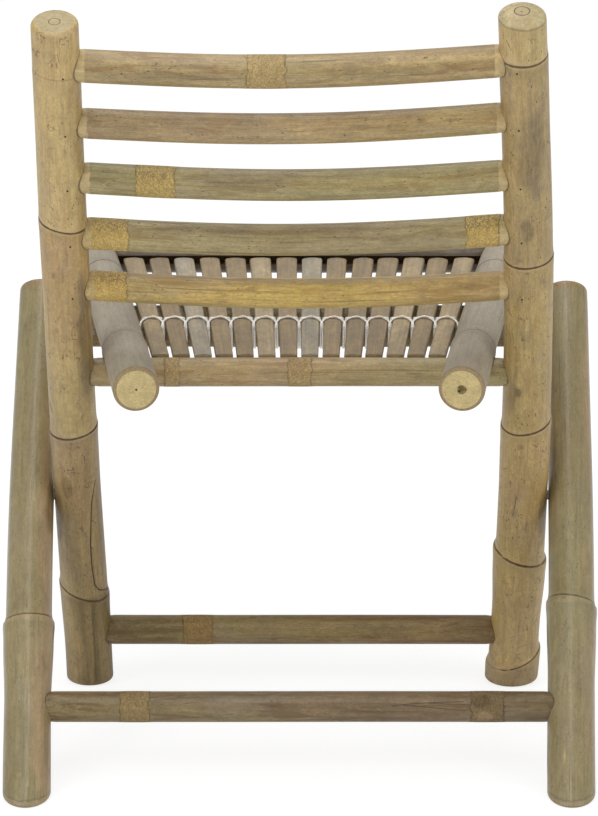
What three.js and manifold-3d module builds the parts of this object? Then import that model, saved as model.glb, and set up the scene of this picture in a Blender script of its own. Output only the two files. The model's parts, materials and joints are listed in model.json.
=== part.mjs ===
// Bamboo folding recliner: crossed posts and legs of thick culms, a backrest of five bowed
// rungs, and a lift-up slatted seat that sits in saddles on two cross bars.
// Millimetres, +Z up. The chair faces -Y, and its left side, as a sitter has it, is +X.
// While it is laid out, y is zero where the posts' axes meet the floor, and the finished
// group is moved so that its origin lies at the middle of its footprint.
import * as THREE from "three";
import { mergeVertices } from "three/addons/utils/BufferGeometryUtils.js";
import Module from "manifold-3d";

const wasm = await Module();
wasm.setup();

// Frame of posts and legs
const post_length = { left: 841, right: 854 };
const post_lean_degrees = 20.1;
const post_radius_foot = { left: 24.6, right: 26 };
const post_radius_top = 23.2;
const post_foot_x = { left: 221.4, right: 225.2 };
const post_top_x = { left: 234.9, right: 213.8 };
const post_bow = { left: 2.7, right: 11.5 };
const leg_length = { left: 578, right: 576 };
const leg_lean_degrees = 45.2;
const leg_radius_foot = 23.6;
const leg_radius_top = 22.8;
const leg_foot_x = 272.8;
const leg_top_x = { left: 270.9, right: 280.8 };
const leg_foot_y = 324.6;

// Culm surface: rings at the joints of the cane, rounded ends, pith holes
const culm_sides = 18;
const rung_sides = 14;
const culm_step = 85;
const node_swell = 1.1;
const node_groove = 0.7;
const node_reach = 11;
const node_lip = 2.2;
const end_chamfer = 2.6;
const floor_chamfer = 1.2;
const floor_blend = 74;
const floor_halfway_share = 0.5;
const pith_hole_radius = 1.6;
const open_pith_radius = 4.2;
const pith_hole_depth = 7;
const dome_height = 7;
const dome_turns = [65, 40, 20, 0];
const pith_sides = 8;
const saddle_sides = 20;
const nail_sides = 6;

// Node rings, measured along each culm from its foot or its left end
const post_nodes = { left: [126, 339.5, 600], right: [174, 349, 557, 799] };
const leg_nodes = { left: [188], right: [210.5] };

// Rungs of the backrest: where each end enters the posts, as shares of the way from the
// support bar to the post's top
const slat_height_shares = {
  left: [0.8785, 0.7192, 0.5659, 0.4077, 0.257],
  right: [0.8676, 0.7152, 0.5565, 0.407, 0.2494],
};
const slat_radius = [16.4, 15.1, 15.7, 15.8, 15];
const slat_bow = 13.5;
const slat_nodes_shares = [[0.46], [0.7], [0.19], [0.14, 0.93], [0.12]];

// Cross bars of the frame
const support_bar_height = 413;
const support_bar_radius = 14.6;
const support_bar_nodes_shares = [0.22, 0.49];
const post_stretcher_height = 68;
const post_stretcher_radius = 15.4;
const post_stretcher_nodes_shares = [0.24];
const leg_stretcher_height = 98;
const leg_stretcher_radius = 15.6;
const leg_stretcher_nodes_shares = [0.18, 0.87];
const top_bar_height = 541;
const top_bar_radius = 12.8;
const top_bar_nodes_shares = [0.3];

// Tenons and fits
const fit_gap = 0.35;
const tenon_share = 0.84;
const taper_length = 20;
const tenon_past_axis = 5;
const tenon_shoulder_out = 1.2;
const frame_side_gap = 0.4;
const overrun = 30;

// Seat frame
const rail_above_support_bar = 17;
const rail_above_top_bar = 27.5;
const rail_half_spacing_at_top_bar = 200.5;
const rail_half_spacing_at_support = 174.6;
const rail_ahead_of_top_bar = 143;
const rail_behind_support = 103;
const rail_radius_rear = 23.4;
const rail_radius_front = 21.3;
const rail_node_ahead_of_support = 15;
const rail_second_node = 250;
const saddle_gap = 0.55;
const saddle_flare_degrees = 46.5;
const front_rail_ahead_of_top_bar = 118;
const front_rail_radius = 15.2;
const front_rail_nodes_shares = [0.36, 0.8];
const rear_rail_behind_top_bar = 92;
const rear_rail_radius = 9.5;
const rear_rail_nodes_shares = [0.37, 0.73];
const rear_rail_tenon_out = 5;

// Seat slats
const slat_count = 14;
const seat_slat_thickness = 6;
const seat_slat_width_front = 21.6;
const seat_slat_width_rear = 17.6;
const seat_slat_pitch_front = 27.4;
const seat_slat_pitch_rear = 21.6;
const seat_slat_in_groove = 4;
const groove_height = 9;
const groove_depth = 9;
const seat_slat_corner = 4;
const seat_slat_edge = 0.9;
const seat_slat_short_of_bar = 2.4;
const slat_drop_front = -2.7;
const slat_drop_rear = 7;

// Lashing cord
const cord_radius = 1.1;
const cord_gap = 0.35;
const cord_sides = 6;
const cord_steps_round = 10;
const cord_steps_side = 3;
const cord_steps_over = 8;

// Pivot pins and nails
const pivot_pin_radius = 5;
const pivot_pin_length = 62;
const pivot_pin_chamfer = 0.8;
const nail_radius = 1.3;
const nail_head_radius = 2.4;
const nail_head_height = 0.9;
const nail_length = 34;
const nail_inward = 7;

const UP = new THREE.Vector3(0, 0, 1);
const ACROSS = new THREE.Vector3(1, 0, 0);
const SIDES = [
  { name: "left", sign: 1 },
  { name: "right", sign: -1 },
];

// Looks of the weathered cane, the cord and the steel
const looks = {
  post: { color: 0xa98b5f, roughness: 0.55, metalness: 0 },
  leg: { color: 0x87805a, roughness: 0.55, metalness: 0 },
  rung: { color: 0xa38a5c, roughness: 0.5, metalness: 0 },
  bar: { color: 0x9c8655, roughness: 0.55, metalness: 0 },
  rail: { color: 0x8f8878, roughness: 0.7, metalness: 0 },
  slat: { color: 0x8d8070, roughness: 0.7, metalness: 0 },
  cord: { color: 0xe4e0d2, roughness: 0.9, metalness: 0 },
  steel: { color: 0x6d6a66, roughness: 0.4, metalness: 1 },
  nail: { color: 0x3a332c, roughness: 0.7, metalness: 0.6 },
};

const radians = THREE.MathUtils.degToRad;

// Turns a three.js geometry into a solid
function solid(geometry) {
  const bare = geometry.clone();
  bare.deleteAttribute("normal");
  bare.deleteAttribute("uv");
  const merged = mergeVertices(bare, 1e-4);
  return new wasm.Manifold(
    new wasm.Mesh({
      numProp: 3,
      vertProperties: merged.attributes.position.array,
      triVerts: new Uint32Array(merged.index.array),
    }),
  );
}

// Turns a solid back into a three.js geometry
function geometry_of(made) {
  const mesh = made.getMesh();
  const points = new Float32Array(mesh.numVert * 3);
  for (let i = 0; i < mesh.numVert; i++) {
    points.set(mesh.vertProperties.subarray(i * mesh.numProp, i * mesh.numProp + 3), i * 3);
  }
  const geometry = new THREE.BufferGeometry();
  geometry.setAttribute("position", new THREE.BufferAttribute(points, 3));
  geometry.setIndex(new THREE.BufferAttribute(mesh.triVerts, 1));
  return geometry;
}

// Cuts tools, given as geometries, out of a geometry
function cut(geometry, tools) {
  let made = solid(geometry);
  for (const tool of tools) made = made.subtract(solid(tool));
  return geometry_of(made);
}

// Skins a row of rings, each an array of points, and closes both ends with a fan
function skin(rings) {
  const points = [];
  const faces = [];
  const sides = rings[0].length;
  for (const ring of rings) for (const p of ring) points.push(p.x, p.y, p.z);
  for (let k = 0; k + 1 < rings.length; k++) {
    for (let i = 0; i < sides; i++) {
      const j = (i + 1) % sides;
      const a = k * sides + i;
      const b = k * sides + j;
      const c = (k + 1) * sides + j;
      const d = (k + 1) * sides + i;
      faces.push(a, b, c, a, c, d);
    }
  }
  for (const end of [0, rings.length - 1]) {
    const centre = new THREE.Vector3();
    for (const p of rings[end]) centre.add(p);
    centre.divideScalar(sides);
    const hub = points.length / 3;
    points.push(centre.x, centre.y, centre.z);
    for (let i = 0; i < sides; i++) {
      const j = (i + 1) % sides;
      if (end === 0) faces.push(hub, end * sides + j, end * sides + i);
      else faces.push(hub, end * sides + i, end * sides + j);
    }
  }
  const geometry = new THREE.BufferGeometry();
  geometry.setAttribute("position", new THREE.Float32BufferAttribute(points, 3));
  geometry.setIndex(faces);
  geometry.computeVertexNormals();
  return geometry;
}

// The turn that takes the y axis, along which three.js makes round shapes, to a direction
function turned_from_y(direction) {
  return new THREE.Quaternion().setFromUnitVectors(new THREE.Vector3(0, 1, 0), direction);
}

// A straight round rod between two points, used for holes, bolts and pins
function rod(from, to, radius, sides = rung_sides) {
  const along = to.clone().sub(from);
  const geometry = new THREE.CylinderGeometry(radius, radius, along.length(), sides);
  geometry.applyQuaternion(turned_from_y(along.clone().normalize()));
  const middle = from.clone().add(to).multiplyScalar(0.5);
  geometry.translate(middle.x, middle.y, middle.z);
  return geometry;
}

// A turned piece: its profile is pairs of radius and distance from a point along a direction
function turned(profile, from, direction, sides) {
  const geometry = new THREE.LatheGeometry(profile.map(([r, d]) => new THREE.Vector2(r, d)), sides);
  geometry.applyQuaternion(turned_from_y(direction));
  geometry.translate(from.x, from.y, from.z);
  return geometry;
}

// The line of a culm from one end to the other. It is straight inside its joints, for the
// held length at each end, and bowed sideways between them.
function culm_line(from, to, bow = new THREE.Vector3(), held = 0) {
  const along = to.clone().sub(from);
  const length = along.length();
  return {
    length,
    direction: along.clone().normalize(),
    at(distance) {
      const free = THREE.MathUtils.clamp((distance - held) / (length - 2 * held), 0, 1);
      const point = from.clone().addScaledVector(along, distance / length);
      return point.addScaledVector(bow, Math.sin(Math.PI * free));
    },
  };
}

// Sections near one end of a culm, from the end inwards: distance, radius and floor lean
function end_sections(style, radius) {
  if (style.kind === "flat") {
    return [[0, radius - style.chamfer, 0], [style.chamfer, radius, 0]];
  }
  if (style.kind === "dome") {
    return dome_turns.map((turn) => {
      const a = radians(turn);
      return [style.height * (1 - Math.sin(a)), radius * Math.cos(a), 0];
    });
  }
  if (style.kind === "floor") {
    return [
      [0, radius - style.chamfer, 1],
      [style.chamfer, radius, 1],
      [style.blend * floor_halfway_share, radius, 1 - floor_halfway_share],
      [style.blend, radius, 0],
    ];
  }
  return [
    [0, radius * tenon_share, 0],
    [style.depth, radius * tenon_share, 0],
    [style.depth + taper_length, radius, 0],
  ];
}

// Sections across one node ring: distance from the ring and change of radius
function node_sections() {
  return [
    [-node_reach, 0],
    [-node_lip, node_swell],
    [0, -node_groove],
    [node_lip, node_swell],
    [node_reach, 0],
  ];
}

// A lofted culm. Its sections are rings square to the line, with swollen node rings, and each
// end is flat with a rounded edge, domed, cut level with the floor, or tapered to a tenon.
function culm({ line, radii, nodes = [], start, end, sides = culm_sides }) {
  const length = line.length;
  const radius_at = (t) => THREE.MathUtils.lerp(radii[0], radii[1], t / length);
  const head = end_sections(start, radii[0]);
  const tail = end_sections(end, radii[1]).map(([d, r, lean]) => [length - d, r, lean]);
  tail.reverse();
  const first = head[head.length - 1][0];
  const last = tail[0][0];
  const clear_nodes = nodes.filter((n) => n - node_reach > first && n + node_reach < last);
  const middle = [];
  for (const n of clear_nodes) {
    for (const [d, change] of node_sections()) middle.push([n + d, radius_at(n) + change, 0]);
  }
  const count = Math.max(2, Math.round((last - first) / culm_step));
  for (let i = 1; i < count; i++) {
    const t = THREE.MathUtils.lerp(first, last, i / count);
    const spare = clear_nodes.every((n) => Math.abs(t - n) > 2 * node_reach);
    if (spare) middle.push([t, radius_at(t), 0]);
  }
  middle.sort((a, b) => a[0] - b[0]);

  const runs_across = Math.abs(line.direction.x) > Math.abs(line.direction.z);
  const square_to = runs_across ? UP : ACROSS;
  const side = new THREE.Vector3().crossVectors(line.direction, square_to).normalize();
  const other = new THREE.Vector3().crossVectors(line.direction, side).normalize();
  const rings = [...head, ...middle, ...tail].map(([t, radius, lean]) => {
    const centre = line.at(t);
    const ring = [];
    for (let i = 0; i < sides; i++) {
      const a = (2 * Math.PI * i) / sides;
      const out = side.clone().multiplyScalar(Math.cos(a) * radius);
      out.addScaledVector(other, Math.sin(a) * radius);
      const slide = (-lean * out.z) / (lean ? line.direction.z : 1);
      ring.push(centre.clone().add(out).addScaledVector(line.direction, slide));
    }
    return ring;
  });
  return skin(rings);
}

const scene = new THREE.Group();
function add(name, geometry, look) {
  const material = new THREE.MeshStandardMaterial(look);
  const mesh = new THREE.Mesh(geometry, material);
  mesh.name = name;
  scene.add(mesh);
}

// Side geometry of the crossed frame
const post_lean = radians(post_lean_degrees);
const leg_lean = radians(leg_lean_degrees);
const post_up = new THREE.Vector3(0, Math.sin(post_lean), Math.cos(post_lean));
const leg_up = new THREE.Vector3(0, -Math.sin(leg_lean), Math.cos(leg_lean));
const backward = new THREE.Vector3(0, Math.cos(post_lean), -Math.sin(post_lean));
const leg_foot = new THREE.Vector3(0, leg_foot_y, 0);
const pivot_z = leg_foot_y / (Math.tan(post_lean) + Math.tan(leg_lean));
const pivot = new THREE.Vector3(0, pivot_z * Math.tan(post_lean), pivot_z);
const pivot_on_post = pivot.length();
const pivot_on_leg = pivot.distanceTo(leg_foot);

const on_post = (height) => post_up.clone().multiplyScalar(height);
const on_leg = (height) => leg_foot.clone().addScaledVector(leg_up, height);
const with_x = (point, x) => new THREE.Vector3(x, point.y, point.z);

// Radius of a post or leg at a height along it
function post_radius(side, height) {
  return THREE.MathUtils.lerp(post_radius_foot[side.name], post_radius_top, height / post_length[side.name]);
}
function leg_radius(side, height) {
  return THREE.MathUtils.lerp(leg_radius_foot, leg_radius_top, height / leg_length[side.name]);
}

// Distance of each post's axis from the middle plane, at a height along the post
function post_x(side, height) {
  const share = height / post_length[side.name];
  const straight = THREE.MathUtils.lerp(post_foot_x[side.name], post_top_x[side.name], share);
  return side.sign * (straight + post_bow[side.name] * Math.sin(Math.PI * share));
}

// Height along a post where a rung of the backrest enters it
function slat_height(side, i) {
  return THREE.MathUtils.lerp(support_bar_height, post_length[side.name], slat_height_shares[side.name][i]);
}

// Each leg bows out just enough to lie against its post at the pivot
function leg_bow(side) {
  const reach = post_radius(side, pivot_on_post) + leg_radius(side, pivot_on_leg) + frame_side_gap;
  const at_pivot = Math.abs(post_x(side, pivot_on_post)) + reach;
  const share = pivot_on_leg / leg_length[side.name];
  const straight = THREE.MathUtils.lerp(leg_foot_x, leg_top_x[side.name], share);
  return (at_pivot - straight) / Math.sin(Math.PI * share);
}
function leg_x(side, height) {
  const share = height / leg_length[side.name];
  const straight = THREE.MathUtils.lerp(leg_foot_x, leg_top_x[side.name], share);
  return side.sign * (straight + leg_bow(side) * Math.sin(Math.PI * share));
}

// The radius of a many-sided hole whose flats clear a round bar by the fit gap
function clear_bore(radius) {
  return (radius + fit_gap) / Math.cos(Math.PI / rung_sides);
}

// A cross bar between two side pieces, with a tenon in each, and the mortises that it needs
function cross_bar({ from, to, radius, nodes_share = [], bow, holds }) {
  const along = to.clone().sub(from).normalize();
  const start = from.clone().addScaledVector(along, -tenon_past_axis);
  const end = to.clone().addScaledVector(along, tenon_past_axis);
  const depths = holds.map((hold) => hold + tenon_past_axis + tenon_shoulder_out);
  const line = culm_line(start, end, bow, Math.max(...depths));
  const [start_style, end_style] = depths.map((depth) => ({ kind: "tenon", depth }));
  const geometry = culm({
    line,
    radii: [radius, radius],
    nodes: nodes_share.map((share) => share * line.length),
    start: start_style,
    end: end_style,
    sides: rung_sides,
  });
  const mortise = (tip, inward) => {
    const bottom = tip.clone().addScaledVector(inward, -fit_gap);
    const mouth = tip.clone().addScaledVector(inward, Math.max(...depths) + overrun);
    return rod(bottom, mouth, clear_bore(radius * tenon_share), rung_sides);
  };
  return { geometry, mortises: [mortise(start, along), mortise(end, along.clone().negate())] };
}

// A pith hole in the end of a culm
function pith_hole(tip, outward, radius) {
  const bottom = tip.clone().addScaledVector(outward, -pith_hole_depth);
  return rod(bottom, tip.clone().addScaledVector(outward, overrun), radius, pith_sides);
}

// A nail with its head let in flush, and the holes that it is driven into
function nail(surface, inward) {
  const profile = [
    [0, -nail_head_height],
    [nail_head_radius, -nail_head_height],
    [nail_head_radius, 0],
    [nail_radius, 0],
    [nail_radius, nail_length],
    [0, nail_length],
  ];
  const outside = surface.clone().addScaledVector(inward, -overrun);
  const seat = surface.clone().addScaledVector(inward, nail_head_height);
  const shelf = seat.clone().addScaledVector(inward, fit_gap);
  const tip = shelf.clone().addScaledVector(inward, nail_length);
  return {
    geometry: turned(profile, seat, inward, nail_sides),
    holes: [
      rod(outside, tip, nail_radius + fit_gap, nail_sides),
      rod(outside, shelf, nail_head_radius + fit_gap, nail_sides),
    ],
  };
}

// Cuts gathered for each side piece before it is made
const post_cuts = { left: [], right: [] };
const leg_cuts = { left: [], right: [] };
const rail_cuts = { left: [], right: [] };
const [left, right] = SIDES;

// Backrest rungs, pinned to the posts from behind
slat_radius.forEach((radius, i) => {
  const height_left = slat_height(left, i);
  const height_right = slat_height(right, i);
  const bar = cross_bar({
    from: with_x(on_post(height_left), post_x(left, height_left)),
    to: with_x(on_post(height_right), post_x(right, height_right)),
    radius,
    nodes_share: slat_nodes_shares[i],
    bow: backward.clone().multiplyScalar(slat_bow),
    holds: [post_radius(left, height_left), post_radius(right, height_right)],
  });
  post_cuts.left.push(bar.mortises[0]);
  post_cuts.right.push(bar.mortises[1]);
  const holes = [];
  for (const side of SIDES) {
    const height = side.sign > 0 ? height_left : height_right;
    const axis = with_x(on_post(height), post_x(side, height));
    axis.x -= side.sign * nail_inward;
    const rise = Math.sqrt(post_radius(side, height) ** 2 - nail_inward ** 2);
    const surface = axis.clone().addScaledVector(backward, rise);
    const pin = nail(surface, backward.clone().negate());
    holes.push(...pin.holes);
    post_cuts[side.name].push(...pin.holes);
    add(`back_nail_${i + 1}_${side.name}`, pin.geometry, looks.nail);
  }
  add(`back_slat_${i + 1}`, cut(bar.geometry, holes), looks.rung);
});

// The bar that carries the seat, and the low bar between the posts
for (const [name, height, radius, nodes_share] of [
  ["seat_support_bar", support_bar_height, support_bar_radius, support_bar_nodes_shares],
  ["post_stretcher", post_stretcher_height, post_stretcher_radius, post_stretcher_nodes_shares],
]) {
  const bar = cross_bar({
    from: with_x(on_post(height), post_x(left, height)),
    to: with_x(on_post(height), post_x(right, height)),
    radius,
    nodes_share,
    holds: [post_radius(left, height), post_radius(right, height)],
  });
  post_cuts.left.push(bar.mortises[0]);
  post_cuts.right.push(bar.mortises[1]);
  add(name, bar.geometry, looks.bar);
}

// The two bars between the legs: the low one, and the top one that carries the seat's front
for (const [name, height, radius, nodes_share] of [
  ["leg_stretcher", leg_stretcher_height, leg_stretcher_radius, leg_stretcher_nodes_shares],
  ["leg_top_bar", top_bar_height, top_bar_radius, top_bar_nodes_shares],
]) {
  const bar = cross_bar({
    from: with_x(on_leg(height), leg_x(left, height)),
    to: with_x(on_leg(height), leg_x(right, height)),
    radius,
    nodes_share,
    holds: [leg_radius(left, height), leg_radius(right, height)],
  });
  leg_cuts.left.push(bar.mortises[0]);
  leg_cuts.right.push(bar.mortises[1]);
  add(name, bar.geometry, looks.bar);
}

// Pivot pins where posts and legs cross. Their holes are blind, so nothing shows outside.
for (const side of SIDES) {
  const out = new THREE.Vector3(side.sign, 0, 0);
  const post_face = Math.abs(post_x(side, pivot_on_post)) + post_radius(side, pivot_on_post);
  const meeting = post_face + frame_side_gap / 2;
  const middle = with_x(pivot, side.sign * meeting);
  const half = pivot_pin_length / 2;
  const shoulder = half - pivot_pin_chamfer;
  const profile = [
    [0, -half],
    [pivot_pin_radius - pivot_pin_chamfer, -half],
    [pivot_pin_radius, -shoulder],
    [pivot_pin_radius, shoulder],
    [pivot_pin_radius - pivot_pin_chamfer, half],
    [0, half],
  ];
  const reach = out.clone().multiplyScalar(half + fit_gap);
  const hole = rod(middle.clone().sub(reach), middle.clone().add(reach), clear_bore(pivot_pin_radius));
  post_cuts[side.name].push(hole);
  leg_cuts[side.name].push(hole);
  add(`pivot_pin_${side.name}`, turned(profile, middle, out, rung_sides), looks.steel);
}

// Posts and legs, with their mortises, nail holes and pivot holes
for (const side of SIDES) {
  const foot = with_x(on_post(0), side.sign * post_foot_x[side.name]);
  const top = with_x(on_post(post_length[side.name]), side.sign * post_top_x[side.name]);
  const line = culm_line(foot, top, new THREE.Vector3(side.sign * post_bow[side.name], 0, 0));
  const domed = side.name === "right";
  const post = culm({
    line,
    radii: [post_radius_foot[side.name], post_radius_top],
    nodes: post_nodes[side.name],
    start: { kind: "floor", chamfer: floor_chamfer, blend: floor_blend },
    end: domed ? { kind: "dome", height: dome_height } : { kind: "flat", chamfer: end_chamfer },
  });
  const post_pith = pith_hole(top, line.direction, pith_hole_radius);
  add(`back_post_${side.name}`, cut(post, [...post_cuts[side.name], post_pith]), looks.post);

  const leg_top = with_x(on_leg(leg_length[side.name]), side.sign * leg_top_x[side.name]);
  const leg_bend = new THREE.Vector3(side.sign * leg_bow(side), 0, 0);
  const leg_line = culm_line(with_x(leg_foot, side.sign * leg_foot_x), leg_top, leg_bend);
  const leg = culm({
    line: leg_line,
    radii: [leg_radius_foot, leg_radius_top],
    nodes: leg_nodes[side.name],
    start: { kind: "floor", chamfer: floor_chamfer, blend: floor_blend },
    end: { kind: "flat", chamfer: end_chamfer },
  });
  add(`leg_${side.name}`, cut(leg, leg_cuts[side.name]), looks.leg);
}

// The rails' axes pass a little above the legs' top bar and the support bar
const top_bar = on_leg(top_bar_height);
const support_bar = on_post(support_bar_height);
const seat_origin = top_bar.clone().addScaledVector(UP, rail_above_top_bar);
const seat_rear_point = support_bar.clone().addScaledVector(UP, rail_above_support_bar);
const seat_back = seat_rear_point.clone().sub(seat_origin).normalize();
const seat_up = new THREE.Vector3(0, -seat_back.z, seat_back.y);
const bars_apart = seat_rear_point.distanceTo(seat_origin);

// A point of the seat: distance behind the top bar, height above the rails' axes, and x
function on_seat(behind, above, x) {
  const point = seat_origin.clone().addScaledVector(seat_back, behind);
  point.addScaledVector(seat_up, above);
  point.x = x;
  return point;
}

function rail_half_spacing(behind) {
  return THREE.MathUtils.lerp(rail_half_spacing_at_top_bar, rail_half_spacing_at_support, behind / bars_apart);
}

// A saddle in the underside of a rail: the bar's round bed and the throat that opens down,
// upright in front of and behind the bar, or flared behind it where the bar leaves backwards
function saddle_cutters(bar, bar_radius, flare_degrees, x) {
  const bed = bar_radius + saddle_gap;
  const flare = radians(flare_degrees);
  const depth = rail_radius_rear * 2;
  const shoulder = Math.sin(flare) * bed;
  const spread = Math.cos(flare) * bed;
  const outline = new THREE.Shape();
  outline.moveTo(-bed, 0);
  outline.lineTo(-bed, -depth);
  outline.lineTo(spread + (depth + shoulder) * Math.tan(flare), -depth);
  outline.lineTo(spread, shoulder);
  outline.lineTo(0, bed / 2);
  outline.closePath();
  const width = rail_radius_rear * 2 + overrun;
  const throat = new THREE.ExtrudeGeometry(outline, { depth: width, bevelEnabled: false });
  throat.translate(0, 0, -width / 2);
  const turn = new THREE.Matrix4().makeBasis(seat_back, seat_up, ACROSS);
  throat.applyMatrix4(turn);
  const at = with_x(bar, x);
  throat.translate(at.x, at.y, at.z);
  const half = ACROSS.clone().multiplyScalar(width / 2);
  return [rod(at.clone().sub(half), at.clone().add(half), bed, saddle_sides), throat];
}

// Front rail of the seat, tenoned into the side rails
const front_rail_behind = -front_rail_ahead_of_top_bar;
const front_rail = cross_bar({
  from: on_seat(front_rail_behind, 0, rail_half_spacing(front_rail_behind)),
  to: on_seat(front_rail_behind, 0, -rail_half_spacing(front_rail_behind)),
  radius: front_rail_radius,
  nodes_share: front_rail_nodes_shares,
  holds: [rail_radius_front, rail_radius_front],
});
rail_cuts.left.push(front_rail.mortises[0]);
rail_cuts.right.push(front_rail.mortises[1]);

// Rear rail: lies in notches under the side rails, sticks out past them, and is pinned from above
const slat_above = (behind) => {
  const run = bars_apart + front_rail_ahead_of_top_bar;
  return -THREE.MathUtils.lerp(slat_drop_front, slat_drop_rear, (behind + front_rail_ahead_of_top_bar) / run);
};
const rear_rail_reach = rear_rail_radius + node_swell + fit_gap;
const rear_rail_above = slat_above(rear_rail_behind_top_bar) - seat_slat_thickness / 2 - rear_rail_reach;
const rear_rail_half = rail_half_spacing(rear_rail_behind_top_bar) + rail_radius_rear + rear_rail_tenon_out;
const rear_rail_line = culm_line(
  on_seat(rear_rail_behind_top_bar, rear_rail_above, rear_rail_half),
  on_seat(rear_rail_behind_top_bar, rear_rail_above, -rear_rail_half),
);
const rear_rail_end = { kind: "flat", chamfer: end_chamfer };
const rear_rail_geometry = culm({
  line: rear_rail_line,
  radii: [rear_rail_radius, rear_rail_radius],
  nodes: rear_rail_nodes_shares.map((share) => share * rear_rail_line.length),
  start: rear_rail_end,
  end: rear_rail_end,
  sides: rung_sides,
});
const rear_rail_notch = rod(
  on_seat(rear_rail_behind_top_bar, rear_rail_above, rear_rail_half + overrun),
  on_seat(rear_rail_behind_top_bar, rear_rail_above, -rear_rail_half - overrun),
  clear_bore(rear_rail_radius),
  rung_sides,
);
const pin_holes = [];
for (const side of SIDES) {
  const x = side.sign * rail_half_spacing(rear_rail_behind_top_bar);
  const surface = on_seat(rear_rail_behind_top_bar, rail_radius_rear, x);
  const pin = nail(surface, seat_up.clone().negate());
  pin_holes.push(...pin.holes);
  rail_cuts[side.name].push(...pin.holes, rear_rail_notch);
  add(`seat_nail_${side.name}`, pin.geometry, looks.nail);
}
add("seat_rear_rail", cut(rear_rail_geometry, pin_holes), looks.bar);

// Side rails of the seat
for (const side of SIDES) {
  const front = -rail_ahead_of_top_bar;
  const rear = bars_apart + rail_behind_support;
  const tip = on_seat(front, 0, side.sign * rail_half_spacing(front));
  const tail = on_seat(rear, 0, side.sign * rail_half_spacing(rear));
  const line = culm_line(tip, tail);
  const second_node = line.length - rail_behind_support - rail_second_node;
  const rail = culm({
    line,
    radii: [rail_radius_front, rail_radius_rear],
    nodes: [second_node, line.length - rail_behind_support - rail_node_ahead_of_support],
    start: { kind: "flat", chamfer: end_chamfer },
    end: { kind: "flat", chamfer: end_chamfer },
  });
  const pith_radius = side.name === "left" ? pith_hole_radius : open_pith_radius;
  const tools = [
    ...rail_cuts[side.name],
    ...saddle_cutters(support_bar, support_bar_radius, 0, side.sign * rail_half_spacing(bars_apart)),
    ...saddle_cutters(top_bar, top_bar_radius, saddle_flare_degrees, side.sign * rail_half_spacing(0)),
    pith_hole(tail, line.direction, pith_radius),
  ];
  add(`seat_rail_${side.name}`, cut(rail, tools), looks.rail);
}

// Seat slats fan out towards the front. Their front ends have rounded corners and stand in a
// groove of the front rail, and their rear ends stop just ahead of the support bar.
const slat_start = front_rail_behind + front_rail_radius - seat_slat_in_groove;
const slat_end = bars_apart - support_bar_radius - seat_slat_short_of_bar;
const pitch_at = (behind) => {
  const share = (behind - front_rail_behind) / (slat_end - front_rail_behind);
  return THREE.MathUtils.lerp(seat_slat_pitch_front, seat_slat_pitch_rear, share);
};
const width_at = (behind) => {
  const share = (behind - slat_start) / (slat_end - slat_start);
  return THREE.MathUtils.lerp(seat_slat_width_front, seat_slat_width_rear, share);
};
const slat_place = (i) => i - (slat_count - 1) / 2;

// Lays a piece, made along y with its top towards z, on the line of one seat slat
function lay_on_slat_line(geometry, i) {
  const place = slat_place(i);
  const front = on_seat(slat_start, slat_above(slat_start), place * pitch_at(slat_start));
  const rear = on_seat(slat_end, slat_above(slat_end), place * pitch_at(slat_end));
  const along = rear.clone().sub(front).normalize();
  const across = new THREE.Vector3().crossVectors(along, seat_up).normalize();
  const up = new THREE.Vector3().crossVectors(across, along).normalize();
  geometry.applyMatrix4(new THREE.Matrix4().makeBasis(across, along, up));
  geometry.translate(front.x, front.y, front.z);
  return geometry;
}

// The flat strip's outline, then its thickness with eased edges
function seat_slat(i) {
  const length = slat_end - slat_start;
  const front_half = width_at(slat_start) / 2 - seat_slat_edge;
  const rear_half = width_at(slat_end) / 2 - seat_slat_edge;
  const corner = seat_slat_corner;
  const near = seat_slat_edge;
  const far = length - seat_slat_edge;
  const outline = new THREE.Shape();
  outline.moveTo(-front_half + corner, near);
  outline.lineTo(front_half - corner, near);
  outline.quadraticCurveTo(front_half, near, front_half, near + corner);
  outline.lineTo(rear_half, far);
  outline.lineTo(-rear_half, far);
  outline.lineTo(-front_half, near + corner);
  outline.quadraticCurveTo(-front_half, near, -front_half + corner, near);
  const inside = seat_slat_thickness - 2 * seat_slat_edge;
  const strip = new THREE.ExtrudeGeometry(outline, {
    depth: inside,
    bevelThickness: seat_slat_edge,
    bevelSize: seat_slat_edge,
    bevelSegments: 1,
    curveSegments: 2,
  });
  strip.translate(0, 0, -inside / 2);
  return lay_on_slat_line(strip, i);
}

for (let i = 0; i < slat_count; i++) {
  const number = String(i + 1).padStart(2, "0");
  add(`seat_slat_${number}`, seat_slat(i), looks.slat);
}

// One groove along the back of the front rail takes the front ends of all the slats
const groove_half = rail_half_spacing(front_rail_behind) - rail_radius_front;
const groove = new THREE.BoxGeometry(groove_half * 2, groove_depth + overrun, groove_height);
const groove_floor = front_rail_radius - groove_depth;
groove.translate(0, groove_floor + (groove_depth + overrun) / 2, slat_above(front_rail_behind));
groove.applyMatrix4(new THREE.Matrix4().makeBasis(ACROSS, seat_back, seat_up));
const front_rail_centre = on_seat(front_rail_behind, 0, 0);
groove.translate(front_rail_centre.x, front_rail_centre.y, front_rail_centre.z);
add("seat_front_rail", cut(front_rail.geometry, [groove]), looks.rail);

// Lashing: one cord that winds round the rear rail and over each slat in turn, passing
// between the slats in front of the rail and behind it, and crossing each slat slantwise.
// Beside the outermost slats it lies against their edges.
function cord_x(gap, behind) {
  const middle_gap = slat_count / 2;
  const side = Math.sign(gap - middle_gap);
  const between = (gap - middle_gap) * pitch_at(behind);
  const outermost = slat_place(slat_count - 1) * pitch_at(behind) + width_at(behind) / 2;
  const limit = outermost + cord_gap + cord_radius;
  return Math.abs(between) > limit ? side * limit : between;
}

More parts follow.
